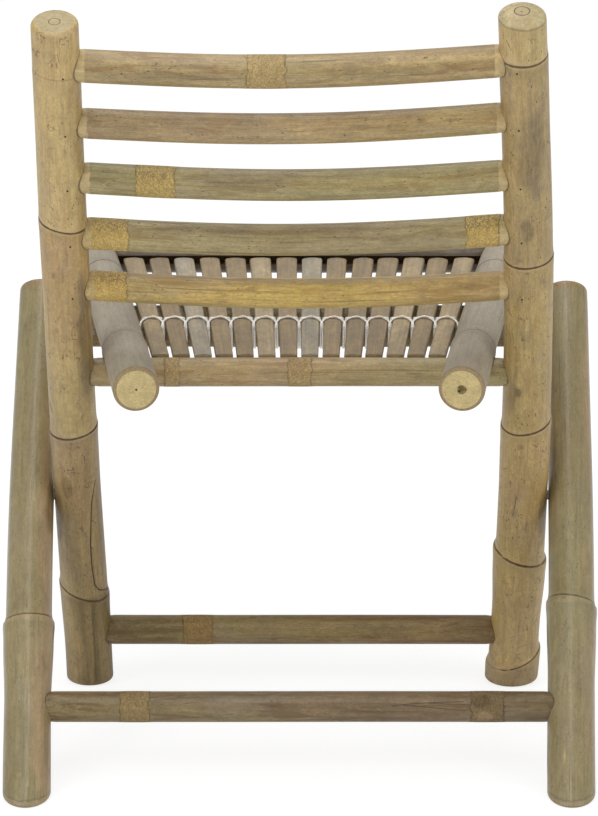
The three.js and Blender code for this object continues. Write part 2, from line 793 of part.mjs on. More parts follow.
function lashing_points() {
  const round = rear_rail_radius + node_swell + cord_gap + cord_radius;
  const over = slat_above(rear_rail_behind_top_bar) + seat_slat_thickness / 2 + cord_gap + cord_radius;
  const lift = over - rear_rail_above;
  const points = [];
  const put = (offset, above, from_gap, to_gap = from_gap, share = 0) => {
    const behind = rear_rail_behind_top_bar + offset;
    const x = THREE.MathUtils.lerp(cord_x(from_gap, behind), cord_x(to_gap, behind), share);
    points.push(on_seat(behind, rear_rail_above + above, x));
  };
  for (let gap = 0; gap <= slat_count; gap++) {
    for (let k = 0; k <= cord_steps_round; k++) {
      const a = Math.PI * (k / cord_steps_round);
      put(Math.cos(a) * round, -Math.sin(a) * round, gap);
    }
    if (gap === slat_count) break;
    for (let k = 1; k < cord_steps_side; k++) put(-round, lift * (k / cord_steps_side), gap);
    for (let k = 0; k <= cord_steps_over; k++) {
      const share = k / cord_steps_over;
      put(THREE.MathUtils.lerp(-round, round, share), lift, gap, gap + 1, share);
    }
    for (let k = cord_steps_side - 1; k > 0; k--) put(round, lift * (k / cord_steps_side), gap + 1);
  }
  return points;
}

// A tube of small rings round a row of points, each ring square to the way the cord runs
function tube(points, radius, sides) {
  const rings = [];
  const normal = ACROSS.clone();
  points.forEach((point, k) => {
    const before = points[Math.max(0, k - 1)];
    const after = points[Math.min(points.length - 1, k + 1)];
    const along = after.clone().sub(before).normalize();
    normal.addScaledVector(along, -normal.dot(along)).normalize();
    const other = new THREE.Vector3().crossVectors(along, normal);
    const ring = [];
    for (let i = 0; i < sides; i++) {
      const a = (2 * Math.PI * i) / sides;
      const out = normal.clone().multiplyScalar(Math.cos(a) * radius);
      ring.push(point.clone().add(out).addScaledVector(other, Math.sin(a) * radius));
    }
    rings.push(ring);
  });
  return skin(rings);
}

// The least gap between stretches of the cord that are not next to each other on its route
function least_gap(points, radius) {
  const lengths = [0];
  for (let k = 1; k < points.length; k++) lengths.push(lengths[k - 1] + points[k].distanceTo(points[k - 1]));
  let least = Infinity;
  for (let a = 0; a < points.length; a++) {
    for (let b = a + 1; b < points.length; b++) {
      if (lengths[b] - lengths[a] < rear_rail_radius) continue;
      least = Math.min(least, points[a].distanceTo(points[b]) - 2 * radius);
    }
  }
  return least;
}
const cord_points = lashing_points();
add("seat_lashing_cord", tube(cord_points, cord_radius, cord_sides), looks.cord);
console.log("least gap of the lashing to itself, mm:", least_gap(cord_points, cord_radius).toFixed(2));

// The origin moves to the middle of the footprint, at the floor
const box = new THREE.Box3().setFromObject(scene);
const middle = box.getCenter(new THREE.Vector3());
scene.position.set(-middle.x, -middle.y, -box.min.z);
const report = (label, point) => {
  const p = point.clone().add(scene.position);
  console.log(label, p.toArray().map((v) => v.toFixed(3)).join(" "));
};
report("pivot of posts and legs, mm:", pivot);
report("support bar axis, mm:", support_bar);
report("top bar axis, mm:", top_bar);
for (const side of SIDES) {
  report(`${side.name} post foot, mm:`, with_x(on_post(0), side.sign * post_foot_x[side.name]));
  report(`${side.name} leg foot, mm:`, with_x(leg_foot, side.sign * leg_foot_x));
}

export default scene;
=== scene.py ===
"""The look of a bamboo folding recliner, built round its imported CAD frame.

Lengths are in millimetres in the part's layout frame: +Z up, +X the sitter's left, the chair faces
-Y, and y is zero where the posts' axes meet the floor. They turn into metres of the row frame when
a mesh is made. Every culm is one closed mesh, and its material reads fields that are stored on it.
"""
import json
import math
from dataclasses import dataclass

import bpy
import numpy as np
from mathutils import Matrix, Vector


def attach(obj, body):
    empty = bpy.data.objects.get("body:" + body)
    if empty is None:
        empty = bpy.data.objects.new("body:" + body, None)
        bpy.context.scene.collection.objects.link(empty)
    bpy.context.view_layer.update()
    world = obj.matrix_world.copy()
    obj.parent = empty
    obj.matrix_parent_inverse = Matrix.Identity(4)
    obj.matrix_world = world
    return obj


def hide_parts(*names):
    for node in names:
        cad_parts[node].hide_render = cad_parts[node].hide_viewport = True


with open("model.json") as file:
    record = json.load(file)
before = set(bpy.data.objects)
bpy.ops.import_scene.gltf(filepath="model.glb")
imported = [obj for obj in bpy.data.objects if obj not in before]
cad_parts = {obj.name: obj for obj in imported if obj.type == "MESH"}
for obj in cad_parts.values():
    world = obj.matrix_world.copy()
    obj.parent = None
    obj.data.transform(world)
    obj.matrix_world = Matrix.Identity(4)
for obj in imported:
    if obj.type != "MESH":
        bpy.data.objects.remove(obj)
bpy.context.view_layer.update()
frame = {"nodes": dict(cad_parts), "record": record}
record = frame["record"]

# Sizes. Most are the CAD part's own, and the rest belong to forms that only the scene has
METRES = 0.001
SIDES = {"left": 1, "right": -1}
POST_LENGTH = {"left": 841.0, "right": 854.0}
POST_LEAN = math.radians(20.1)
POST_RADIUS_FOOT = {"left": 24.6, "right": 26.0}
POST_RADIUS_TOP = 23.2
POST_FOOT_X = {"left": 221.4, "right": 225.2}
POST_TOP_X = {"left": 234.9, "right": 213.8}
POST_BOW = {"left": 2.7, "right": 11.5}
LEG_LENGTH = {"left": 578.0, "right": 576.0}
LEG_LEAN = math.radians(45.2)
LEG_RADIUS_FOOT = 23.6
LEG_RADIUS_TOP = 22.8
LEG_FOOT_X = 272.8
LEG_TOP_X = {"left": 270.9, "right": 280.8}
LEG_FOOT_Y = 324.6
FRAME_SIDE_GAP = 0.4

SLAT_HEIGHTS = {"left": [789, 720.8, 655.2, 587.5, 523], "right": [795.6, 728.4, 658.4, 592.5, 523]}
SLAT_RADIUS = [16.4, 15.1, 15.7, 15.8, 15]
SLAT_BOW = 13.5
SUPPORT_BAR = (413, 14.6)
POST_STRETCHER = (68, 15.4)
LEG_STRETCHER = (98, 15.6)
TOP_BAR = (541, 12.8)

TENON_SHARE = 0.88
PALE_LENGTH = 5.0
WHITTLED_LENGTH = 11.0
TENON_PAST_AXIS = 5.0
TENON_SHOULDER_OUT = 1.2
END_CHAMFER = 2.6
FLOOR_CHAMFER = 5.2
FLOOR_BLEND = 74.0
DOME_HEIGHT = 8.0

RAIL_ABOVE_SUPPORT_BAR = 17.0
RAIL_ABOVE_TOP_BAR = 27.5
RAIL_HALF_SPACING = (200.5, 174.6)
RAIL_AHEAD = 143.0
RAIL_BEHIND = 103.0
RAIL_RADIUS_FRONT = 21.3
RAIL_RADIUS_REAR = 23.4
RAIL_NODE_AHEAD = 15.0
RAIL_SECOND_NODE = 250.0
SADDLE_GAP = 0.55
SADDLE_FLARE = math.radians(46.5)
FRONT_RAIL_AHEAD = 118.0
FRONT_RAIL_RADIUS = 15.2
REAR_RAIL_BEHIND = 92.0
REAR_RAIL_RADIUS = 9.5
REAR_RAIL_OUT = 5.0
NODE_SWELL = 1.1
FIT_GAP = 0.35

SEAT_SLATS = 14
SEAT_SLAT_THICKNESS = 6.0
SEAT_SLAT_WIDTH = (21.6, 17.6)
SEAT_SLAT_PITCH = (27.4, 21.6)
SEAT_SLAT_IN_GROOVE = 4.0
SEAT_SLAT_SHORT_OF_BAR = 2.4
SEAT_SLAT_DROP = (-2.7, 7.0)
GROOVE_HEIGHT = 9.0
GROOVE_DEPTH = 9.0
CORD_RADIUS = 1.0
NAIL_INWARD = 7.0
CONTACT_REACH = 4.0

# Colours of weathered cane, cotton and iron, and of painted shade, from 0 to 255, and a rust bloom as linear
# light
PALETTE = {
    "straw": (190, 166, 119),
    "tan": (170, 147, 106),
    "brown": (151, 129, 92),
    "umber": (118, 98, 64),
    "earth": (108, 90, 58),
    "smoke": (120, 101, 74),
    "painted_shade": (70, 57, 38),
    "rust": (122, 90, 52),
    "rose": (168, 141, 107),
    "blush": (161, 136, 103),
    "wheat": (173, 147, 100),
    "sage": (161, 146, 103),
    "olive": (140, 127, 90),
    "moss": (150, 136, 95),
    "clay": (152, 127, 95),
    "honey": (173, 147, 94),
    "gold": (197, 165, 92),
    "grey": (163, 153, 136),
    "mauve": (156, 144, 131),
    "taupe": (168, 151, 124),
    "dusk": (150, 133, 108),
    "cream": (197, 178, 128),
    "bark": (76, 58, 36),
    "bone": (186, 170, 134),
    "oat": (164, 140, 99),
    "peat": (121, 99, 56),
    "cotton": (250, 247, 240),
    "iron": (58, 50, 43),
}
RUST_BLOOM = (0.09, 0.035, 0.015, 1)


def linear(colour):
    """A palette colour's name, or 0-255 values, as linear light."""
    values = np.array(PALETTE[colour] if isinstance(colour, str) else colour, float) / 255
    return np.where(values <= 0.04045, values / 12.92, ((values + 0.055) / 1.055) ** 2.4)


def rgba(colour, factor=1.0):
    """The same, made lighter or darker, for a node's socket."""
    return (*(linear(colour) * factor), 1.0)


# Small vector helpers
def vec(x, y, z):
    return np.array([x, y, z], float)


def unit(v):
    return v / np.linalg.norm(v)


def lerp(a, b, share):
    return a + (b - a) * share


def smooth(value, low, high):
    """0 at low, 1 at high, and a soft step between them."""
    share = np.clip((value - low) / (high - low), 0, 1)
    return share * share * (3 - 2 * share)


UP = vec(0, 0, 1)
ACROSS = vec(1, 0, 0)
CAMERA_SIDE = unit(vec(0, 0.948, 0.317))
MOUNT = next(m for m in record["mounts"] if m["name"] == "left_post_foot")
SHIFT = np.array(MOUNT["pos_m"]) / METRES - vec(POST_FOOT_X["left"], 0, 0)


def to_row(points):
    """Points of the layout frame, in metres of the row frame."""
    return (np.asarray(points, float) + SHIFT) * METRES


# The crossed frame's lines
POST_UP = vec(0, math.sin(POST_LEAN), math.cos(POST_LEAN))
LEG_UP = vec(0, -math.sin(LEG_LEAN), math.cos(LEG_LEAN))
BACKWARD = vec(0, math.cos(POST_LEAN), -math.sin(POST_LEAN))
LEG_FOOT = vec(0, LEG_FOOT_Y, 0)
PIVOT_Z = LEG_FOOT_Y / (math.tan(POST_LEAN) + math.tan(LEG_LEAN))
PIVOT = vec(0, PIVOT_Z * math.tan(POST_LEAN), PIVOT_Z)
PIVOT_ON_POST = float(np.linalg.norm(PIVOT))
PIVOT_ON_LEG = float(np.linalg.norm(PIVOT - LEG_FOOT))


def with_x(point, x):
    return vec(x, point[1], point[2])


def post_radius(side, height):
    return lerp(POST_RADIUS_FOOT[side], POST_RADIUS_TOP, height / POST_LENGTH[side])


def leg_radius(side, height):
    return lerp(LEG_RADIUS_FOOT, LEG_RADIUS_TOP, height / LEG_LENGTH[side])


def post_x(side, height):
    """Where a post's axis is at a distance up from its foot."""
    share = height / POST_LENGTH[side]
    straight = lerp(POST_FOOT_X[side], POST_TOP_X[side], share)
    return SIDES[side] * (straight + POST_BOW[side] * math.sin(math.pi * share))


def leg_bow(side):
    """How far a leg bows outwards to pass the post beside it."""
    reach = post_radius(side, PIVOT_ON_POST) + leg_radius(side, PIVOT_ON_LEG) + FRAME_SIDE_GAP
    at_pivot = abs(post_x(side, PIVOT_ON_POST)) + reach
    share = PIVOT_ON_LEG / LEG_LENGTH[side]
    return (at_pivot - lerp(LEG_FOOT_X, LEG_TOP_X[side], share)) / math.sin(math.pi * share)


def leg_x(side, height):
    share = height / LEG_LENGTH[side]
    straight = lerp(LEG_FOOT_X, LEG_TOP_X[side], share)
    return SIDES[side] * (straight + leg_bow(side) * math.sin(math.pi * share))


TOP_BAR_POINT = LEG_FOOT + LEG_UP * TOP_BAR[0]
SUPPORT_POINT = POST_UP * SUPPORT_BAR[0]
SEAT_ORIGIN = TOP_BAR_POINT + UP * RAIL_ABOVE_TOP_BAR
SEAT_BACK = unit(SUPPORT_POINT + UP * RAIL_ABOVE_SUPPORT_BAR - SEAT_ORIGIN)
SEAT_UP = vec(0, -SEAT_BACK[2], SEAT_BACK[1])
BARS_APART = float(np.linalg.norm(SUPPORT_POINT + UP * RAIL_ABOVE_SUPPORT_BAR - SEAT_ORIGIN))


def on_seat(behind, above, x):
    """A point this far behind the leg's top bar and above the rails' axes."""
    return with_x(SEAT_ORIGIN + SEAT_BACK * behind + SEAT_UP * above, x)


def rail_half(behind):
    """How far each side rail's axis is from the middle."""
    return lerp(*RAIL_HALF_SPACING, behind / BARS_APART)


class Line:
    """The line of a culm: straight inside its joints and bowed between them."""

    def __init__(self, start, end, bow=None, held=0.0):
        self.start, self.end, self.held = start, end, held
        self.length = float(np.linalg.norm(end - start))
        self.direction = (end - start) / self.length
        self.bow = np.zeros(3) if bow is None else bow
        self.face = unit(CAMERA_SIDE - self.direction * float(CAMERA_SIDE @ self.direction))
        self.other = np.cross(self.direction, self.face)

    def at(self, distance):
        distance = np.asarray(distance, float)
        free = np.clip((distance - self.held) / (self.length - 2 * self.held), 0, 1)
        straight = self.start + distance[..., None] * self.direction
        return straight + np.sin(np.pi * free)[..., None] * self.bow

    def polar(self, points):
        """Distance along, angle from the side that faces the camera, and distance from the axis."""
        along = (points - self.start) @ self.direction
        out = points - self.at(np.clip(along, 0, self.length))
        out -= np.outer(out @ self.direction, self.direction)
        return along, np.arctan2(out @ self.other, out @ self.face), np.linalg.norm(out, axis=1)


# Culm meshes
RING_STATIONS = [0, 0.4, 0.8, 1.2, 1.7, 2.3, 3, 4, 5.5, 7.5, 10, 13]
DOME_RIM = 1 - math.sin(math.radians(65))
LEAST_STEP = 0.16
# Metres of noise from one cane's to the next one's, so that no two look alike
NOISE_STRETCH = 1.37
# A hole in a cut end: the share of its radius, and how deep the wall is there
HOLE_PROFILE = [(1.12, 0.0), (1, 0.25), (0.95, 1.4), (0.8, 6.0), (0.4, 7.0)]
# What a field says of a ring, patch, crack or end where none is near
FAR = 60.0


def rounded(share):
    """The height of a quarter circle from its edge, at 0, to its top, at 1."""
    return np.sqrt(1 - (1 - share) ** 2)


def bands(rows, count):
    """Quads between the rows of a tube's points, with count points in each row."""
    turns = [(i, (i + 1) % count) for i in range(count)]
    starts = range(0, (rows - 1) * count, count)
    return [(k + i, k + j, k + count + j, k + count + i) for k in starts for i, j in turns]


@dataclass(eq=False)
class Culm:
    """One cane: its line, radii, node rings, ends and marks, as a mesh and as fields on it."""

    name: str
    line: Line
    radii: tuple
    rings: tuple = ()
    start: dict = None
    end: dict = None
    tones: tuple = ("tan",)
    patches: tuple = ()
    cracks: tuple = ()
    washes: tuple = ()
    seed: int = 0
    sides: int = 48
    undulation: float = 0.3
    pith: float = 1.6
    step: float = 5.0
    sawn: str = "cream"

    def __post_init__(self):
        rng = np.random.default_rng(1000 + self.seed)
        count = max(1, len(self.rings))
        self.phases = rng.uniform(0, 2 * np.pi, (6, 4))
        self.ring_phases = rng.uniform(0, 2 * np.pi, (count, 3))
        self.ring_waves = rng.uniform(0.4, 1.0, (count, 2))

    def radius_at(self, along):
        return lerp(*self.radii, along / self.line.length)

    def ends(self, along):
        """Each end's style, and how far places along the line are from that end."""
        return (self.start, along), (self.end, self.line.length - along)

    def ring_distance(self, k, along, angle):
        """Signed distance from one node ring, which is a little tilted and wavy."""
        a, b, c = self.ring_phases[k]
        tilt, wave = self.ring_waves[k]
        drift = 0.4 * tilt * np.sin(angle + a) + 0.45 * wave * np.sin(2 * angle + b)
        drift = drift + self.rings[k][4] * np.sin(angle)
        return along - self.rings[k][0] - drift - 0.15 * np.sin(5 * angle + c)

    def crack_distance(self, k, along, angle):
        """Distance over the skin from one crack, whose path is given as distances along and angles."""
        turned = np.mod(angle + np.pi, 2 * np.pi) - np.pi
        radius = sum(self.radii) / 2
        nearest = np.full(np.shape(along), FAR)
        path = self.cracks[k][0]
        for (a, turn), (b, next_turn) in zip(path, path[1:]):
            run = np.array([b - a, math.radians(next_turn - turn) * radius])
            off = np.stack([along - a, (turned - math.radians(turn)) * radius], -1)
            share = np.clip(off @ run / float(run @ run), 0, 1)
            nearest = np.minimum(nearest, np.linalg.norm(off - share[..., None] * run, axis=-1))
        return nearest

    def surface(self, along, angle):
        """The skin's distance from the axis."""
        radius = self.radius_at(along)
        inside = smooth(along, 0, 40) * smooth(self.line.length - along, 0, 40)
        for k in range(3):
            a, b, c, _ = self.phases[k]
            wobble = np.cos((k + 1) * angle + a + 1.3 * np.sin(along / (150 - 30 * k) + b))
            radius = radius + self.undulation * inside * wobble / (k + 1.4) * np.sin(along / 97 + c)
        for k, (_, swell, ink, step, _) in enumerate(self.rings):
            s = self.ring_distance(k, along, angle)
            for share, middle, half in ((0.7, -5, 9), (0.3, -1.4, 1.0), (0.25, 3.0, 3.0)):
                radius = radius + swell * share * np.exp(-(((s - middle) / half) ** 2))
            radius = radius - (0.35 + swell * 0.5) * ink * np.exp(-((s / 0.8) ** 2))
            radius = radius + 0.5 * step * (1 - np.tanh(s / 2.5)) * smooth(s, -90, -20)
        for middle, half, _ in self.patches:
            radius = radius + 0.3 * np.exp(-(((along - middle) / half) ** 4))
        for k, (_, depth, half) in enumerate(self.cracks):
            radius = radius - depth * np.exp(-((self.crack_distance(k, along, angle) / half) ** 2))
        return radius

    def shaped_end(self, style, distance, radius):
        """What an end's shape makes of the radius at a distance from that end."""
        if style["kind"] == "dome":
            return radius * rounded(np.clip(distance / DOME_HEIGHT, DOME_RIM, 1))
        if style["kind"] == "tenon":
            share = np.clip((distance - style["depth"]) / WHITTLED_LENGTH, 0, 1)
            return radius * lerp(TENON_SHARE, 1.0, rounded(share) * 0.5 + share * 0.5)
        chamfer = style["chamfer"]
        return radius - chamfer * (1 - rounded(np.clip(distance / chamfer, 0, 1)))

    def stations(self):
        """Distances along the cane of its rows of points, closer together at rings, cracks and ends."""
        length = self.line.length
        marks = list(np.linspace(0, length, max(8, int(length / self.step))))
        marks += [ring[0] + sign * s for ring in self.rings for s in RING_STATIONS for sign in (-1, 1)]
        for path, _, _ in self.cracks:
            marks += list(np.arange(path[0][0] - 2, path[-1][0] + 2, 1.5))
        for style, origin, sign in ((self.start, 0, 1), (self.end, length, -1)):
            if style["kind"] == "dome":
                near = [DOME_HEIGHT * (1 - math.sin(a)) for a in np.radians([65, 55, 45, 34, 23, 12, 0])]
            elif style["kind"] == "tenon":
                near = [style["depth"] + s for s in np.linspace(-12, WHITTLED_LENGTH + 4, 22)]
            else:
                near = [style["chamfer"] * (1 - math.cos(a)) for a in np.linspace(0, np.pi / 2, 7)]
            marks += [origin + sign * d for d in near]
        reach = length - (DOME_HEIGHT * DOME_RIM if self.end["kind"] == "dome" else 0)
        marks = sorted(m for m in marks if 0 <= m <= reach)
        kept = [marks[0]]
        for mark in marks[1:]:
            if mark - kept[-1] > LEAST_STEP:
                kept.append(mark)
        kept[-1] = marks[-1]
        return np.array(kept)

    def angles(self):
        """Angles of the points round the cane, closer together at cracks."""
        turns = list(np.linspace(0, 2 * np.pi, self.sides, endpoint=False))
        for path, _, half in self.cracks:
            bends = [math.radians(turn) for _, turn in path]
            width = half / (sum(self.radii) / 2)
            turns += list(np.arange(min(bends) - 2 * width, max(bends) + 2 * width, 0.8 * width))
        return np.unique(np.round(np.mod(np.array(turns), 2 * np.pi), 4))

    def cap_rings(self, style, reach, turns):
        """An end face's rings, each the rim drawn in by a fraction and sunk by a depth."""
        hole = style.get("hole", 0.0) / reach
        rings = [(f, 0.0) for f in (0.97, 0.92, 0.82, 0.66, 0.5, 0.36) if f > hole * 1.25]
        if hole:
            rings += [(hole * share, depth) for share, depth in HOLE_PROFILE]
        else:
            rings += [(0.22, 0.0), (0.12, 0.0), (0.05, 0.0)]
        a, b = self.phases[4, :2]
        ragged = style.get("ragged", 0) * (0.6 * np.sin(3 * turns + a) + 0.4 * np.sin(5 * turns + b))
        for fraction, depth in rings:
            near = np.clip(1 - abs(fraction - hole) / max(hole, 0.1), 0, 1)
            yield fraction * (1 + ragged * near), depth

    def build(self):
        """Points, faces and, for each face, 0 for skin or 1 for a cut end."""
        marks, turns = self.stations(), self.angles()
        count = len(turns)
        along, angle = np.meshgrid(marks, turns, indexing="ij")
        radius = self.surface(along, angle)
        for style, distance in self.ends(along):
            radius = self.shaped_end(style, distance, radius)
        out = np.cos(angle)[..., None] * self.line.face + np.sin(angle)[..., None] * self.line.other
        out = out * radius[..., None]
        slide = np.zeros_like(along)
        for style, distance in self.ends(along):
            if style["kind"] == "floor":
                lean = 1 - np.clip((distance - FLOOR_CHAMFER) / (FLOOR_BLEND - FLOOR_CHAMFER), 0, 1)
                slide = slide - lean * out[..., 2] / self.line.direction[2]
        points = self.line.at(along) + out + slide[..., None] * self.line.direction
        grid, size = [points.reshape(-1, 3)], count * len(marks)
        faces = bands(len(marks), count)
        skin_faces = len(faces)
        for style, at_end in ((self.start, False), (self.end, True)):
            order = slice(None, None, -1 if at_end else 1)
            previous = (len(marks) - 1) * count if at_end else 0
            rim = points[-1 if at_end else 0]
            centre = rim.mean(0)
            inward = self.line.direction * (-1 if at_end else 1)
            reach = float(np.linalg.norm(rim - centre, axis=1).mean())
            for scale, depth in self.cap_rings(style, reach, turns):
                grid.append(centre + (rim - centre) * scale[:, None] + inward * depth)
                for i in range(count):
                    j = (i + 1) % count
                    faces.append((previous + i, size + i, size + j, previous + j)[order])
                previous = size
                size += count
            grid.append((centre + inward * depth)[None])
            faces += [(previous + i, size, previous + (i + 1) % count)[order] for i in range(count)]
            size += 1
        return np.vstack(grid), faces, [0] * skin_faces + [1] * (len(faces) - skin_faces)

    def fields(self, points, near=()):
        """What the material reads at each point: place on the cane, node rings, marks and tone."""
        along, angle, radius = self.line.polar(points)
        same = np.ones(len(points))
        cane = np.stack([np.cos(angle) * radius, np.sin(angle) * radius, along], 1) * METRES
        cane[:, 2] += self.seed * NOISE_STRETCH
        ring, below, ink = same * FAR, same * 0, same * 0
        for k in range(len(self.rings)):
            s = self.ring_distance(k, along, angle)
            closer = np.abs(s) < ring
            ring = np.where(closer, np.abs(s), ring)
            below = np.where(closer, np.tanh(s / 1.5), below)
            ink = np.where(closer, self.rings[k][2], ink)
        patch, gilt = same * -FAR, same * 0
        for middle, half, golden in self.patches:
            inward = half - np.abs(along - middle)
            gilt = np.where(inward > patch, golden, gilt)
            patch = np.maximum(patch, inward)
        crack = same * 0
        for k, (_, _, half) in enumerate(self.cracks):
            crack = np.maximum(crack, np.exp(-((self.crack_distance(k, along, angle) / half) ** 2)))
        pale, bevel = same * -FAR, same * -FAR
        for style, distance in self.ends(along):
            if style.get("pale"):
                pale = np.maximum(pale, style["pale"] - distance)
            if style.get("bevel"):
                slant = style.get("slant", 1.0)
                bevel = np.maximum(bevel, style["bevel"] * (1 - slant + slant * np.cos(angle)) - distance)
        return {
            "cane": cane,
            "tone": np.column_stack([self.tone(along, angle), same]),
            "ring": ring,
            "below": below,
            "ink": ink,
            "sawn": np.outer(same, linear(self.sawn)),
            "patch": patch,
            "gilt": gilt,
            "bevel": bevel,
            "foot": np.where(self.start["kind"] == "floor", points[:, 2], FAR),
            "crack": crack,
            "pale": pale,
            "contact_shade": contact_shade(points, near, self),
            "radial": radius / np.maximum(self.radius_at(along), 1),
            "pith": radius / self.pith,
        }

    def tone(self, along, angle):
        """The cane's colour: stops along it, and washes laid over them as soft ovals."""
        stops = self.tones
        if isinstance(stops[0], str):
            part = self.line.length / len(stops)
            stops = [(part * (i + 0.5), colour) for i, colour in enumerate(stops)]
        palette = np.array([linear(colour) for _, colour in stops])
        places = [place_at for place_at, _ in stops]
        tone = np.stack([np.interp(along, places, palette[:, c]) for c in range(3)], 1)
        for colour, middle, reach, turn, spread, strength in self.washes:
            across = np.mod(angle - math.radians(turn) + np.pi, 2 * np.pi) - np.pi
            ripple = 0.1 * np.sin(along / 9 + 3 * angle) + 0.07 * np.sin(along / 3.7 - 5 * angle)
            far = np.hypot((along - middle) / reach, across / math.radians(spread)) + ripple
            share = strength * (1 - smooth(far, 0.62, 1.08))
            tone = tone + (linear(colour) - tone) * share[:, None]
        return tone


def contact_shade(points, near, itself):
    """How near each point is to the culms beside it, as the mask of painted shade where canes touch: 1 where
    they touch, 0 from CONTACT_REACH off.
    """
    gap = np.full(len(points), FAR)
    for other in near:
        if other is itself:
            continue
        marks = np.linspace(0, other.line.length, int(other.line.length / 4))
        centres = other.line.at(marks)
        radii = other.radius_at(marks)
        for low in range(0, len(points), 4000):
            block = slice(low, low + 4000)
            apart = np.linalg.norm(points[block][:, None] - centres[None], axis=2) - radii[None]
            gap[block] = np.minimum(gap[block], apart.min(1))
    return np.clip(1 - gap / CONTACT_REACH, 0, 1)


# Pieces
def store_fields(mesh, fields):
    """Keeps each field on the mesh's points, as a number, a place or a colour."""
    kinds = {1: ("FLOAT", "value"), 3: ("FLOAT_VECTOR", "vector"), 4: ("FLOAT_COLOR", "color")}
    for key, values in fields.items():
        kind, part = kinds[1 if values.ndim == 1 else values.shape[1]]
        layer = mesh.attributes.new(key, kind, "POINT")
        layer.data.foreach_set(part, values.astype(np.float32).ravel())


def mesh_from(name, points, faces):
    mesh = bpy.data.meshes.new(name)
    mesh.from_pydata(to_row(points).tolist(), [], faces)
    return mesh


def shown(name, data):
    """An object of the scene with this mesh, lamp or camera."""
    made = bpy.data.objects.new(name, data)
    bpy.context.scene.collection.objects.link(made)
    return made


def place(name, mesh, body, nodes, sharp_degrees=50):
    """Smooths a mesh, shows it as a piece, and says which body and CAD nodes are its own."""
    mesh.polygons.foreach_set("use_smooth", [True] * len(mesh.polygons))
    mesh.set_sharp_from_angle(angle=math.radians(sharp_degrees))
    mesh.update()
    piece = shown(name, mesh)
    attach(piece, body)
    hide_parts(*nodes)


def cut_out(piece, cutters, inner):
    """Cuts meshes out of a piece before it is placed. The cut faces take the inner material."""
    for points, faces in cutters:
        tool = shown("cutter", mesh_from("cutter", points, faces))
        tool.data.materials.append(inner)
        modifier = piece.modifiers.new("cut", "BOOLEAN")
        modifier.operation = "DIFFERENCE"
        modifier.solver = "EXACT"
        modifier.material_mode = "TRANSFER"
        modifier.object = tool
        bpy.context.view_layer.update()
        evaluated = piece.evaluated_get(bpy.context.evaluated_depsgraph_get())
        made = bpy.data.meshes.new_from_object(evaluated)
        piece.modifiers.clear()
        piece.data = made
        bpy.data.objects.remove(tool)


def culm_piece(culm, body, skin, near=(), cutters=()):
    """Makes a culm's mesh, cuts its saddles or groove, dresses it and places it for its CAD node."""
    points, faces, kinds = culm.build()
    mesh = mesh_from(culm.name, points, faces)
    mesh.materials.append(LOOKS[skin])
    mesh.materials.append(LOOKS["cut"])
    mesh.polygons.foreach_set("material_index", kinds)
    if cutters:
        shape = shown("shape", mesh)
        cut_out(shape, cutters, LOOKS["dark"])
        mesh = shape.data
        bpy.data.objects.remove(shape)
        flat = np.zeros(len(mesh.vertices) * 3)
        mesh.vertices.foreach_get("co", flat)
        points = flat.reshape(-1, 3) / METRES - SHIFT
    store_fields(mesh, culm.fields(points, near))
    place(f"cane_{culm.name}", mesh, body, [culm.name])


# Materials
class Value:
    """A node's output. Its sums, products and steps are new nodes of the same material."""

    def __init__(self, look, socket):
        self.look, self.socket = look, socket

    def __add__(self, other):
        return self.look.maths("ADD", self, other)

    def __sub__(self, other):
        return self.look.maths("SUBTRACT", self, other)

    def __mul__(self, other):
        return self.look.maths("MULTIPLY", self, other)

    def __abs__(self):
        return self.look.maths("ABSOLUTE", self)

    def step(self, low, high, out_low=0.0, out_high=1.0):
        """Goes smoothly from out_low, at low, to out_high, at high."""
        inputs = {"Value": self, "From Min": low, "From Max": high, "To Min": out_low, "To Max": out_high}
        return self.look.node("ShaderNodeMapRange", inputs, interpolation_type="SMOOTHSTEP")

    def about(self, size):
        """1 plus a size times how far a noise lies from its middle, which is a half."""
        return (self - 0.5) * size + 1.0

    def times(self, factor):
        """A colour made lighter or darker."""
        return self.look.node("ShaderNodeVectorMath", {0: self, "Scale": factor}, operation="SCALE")


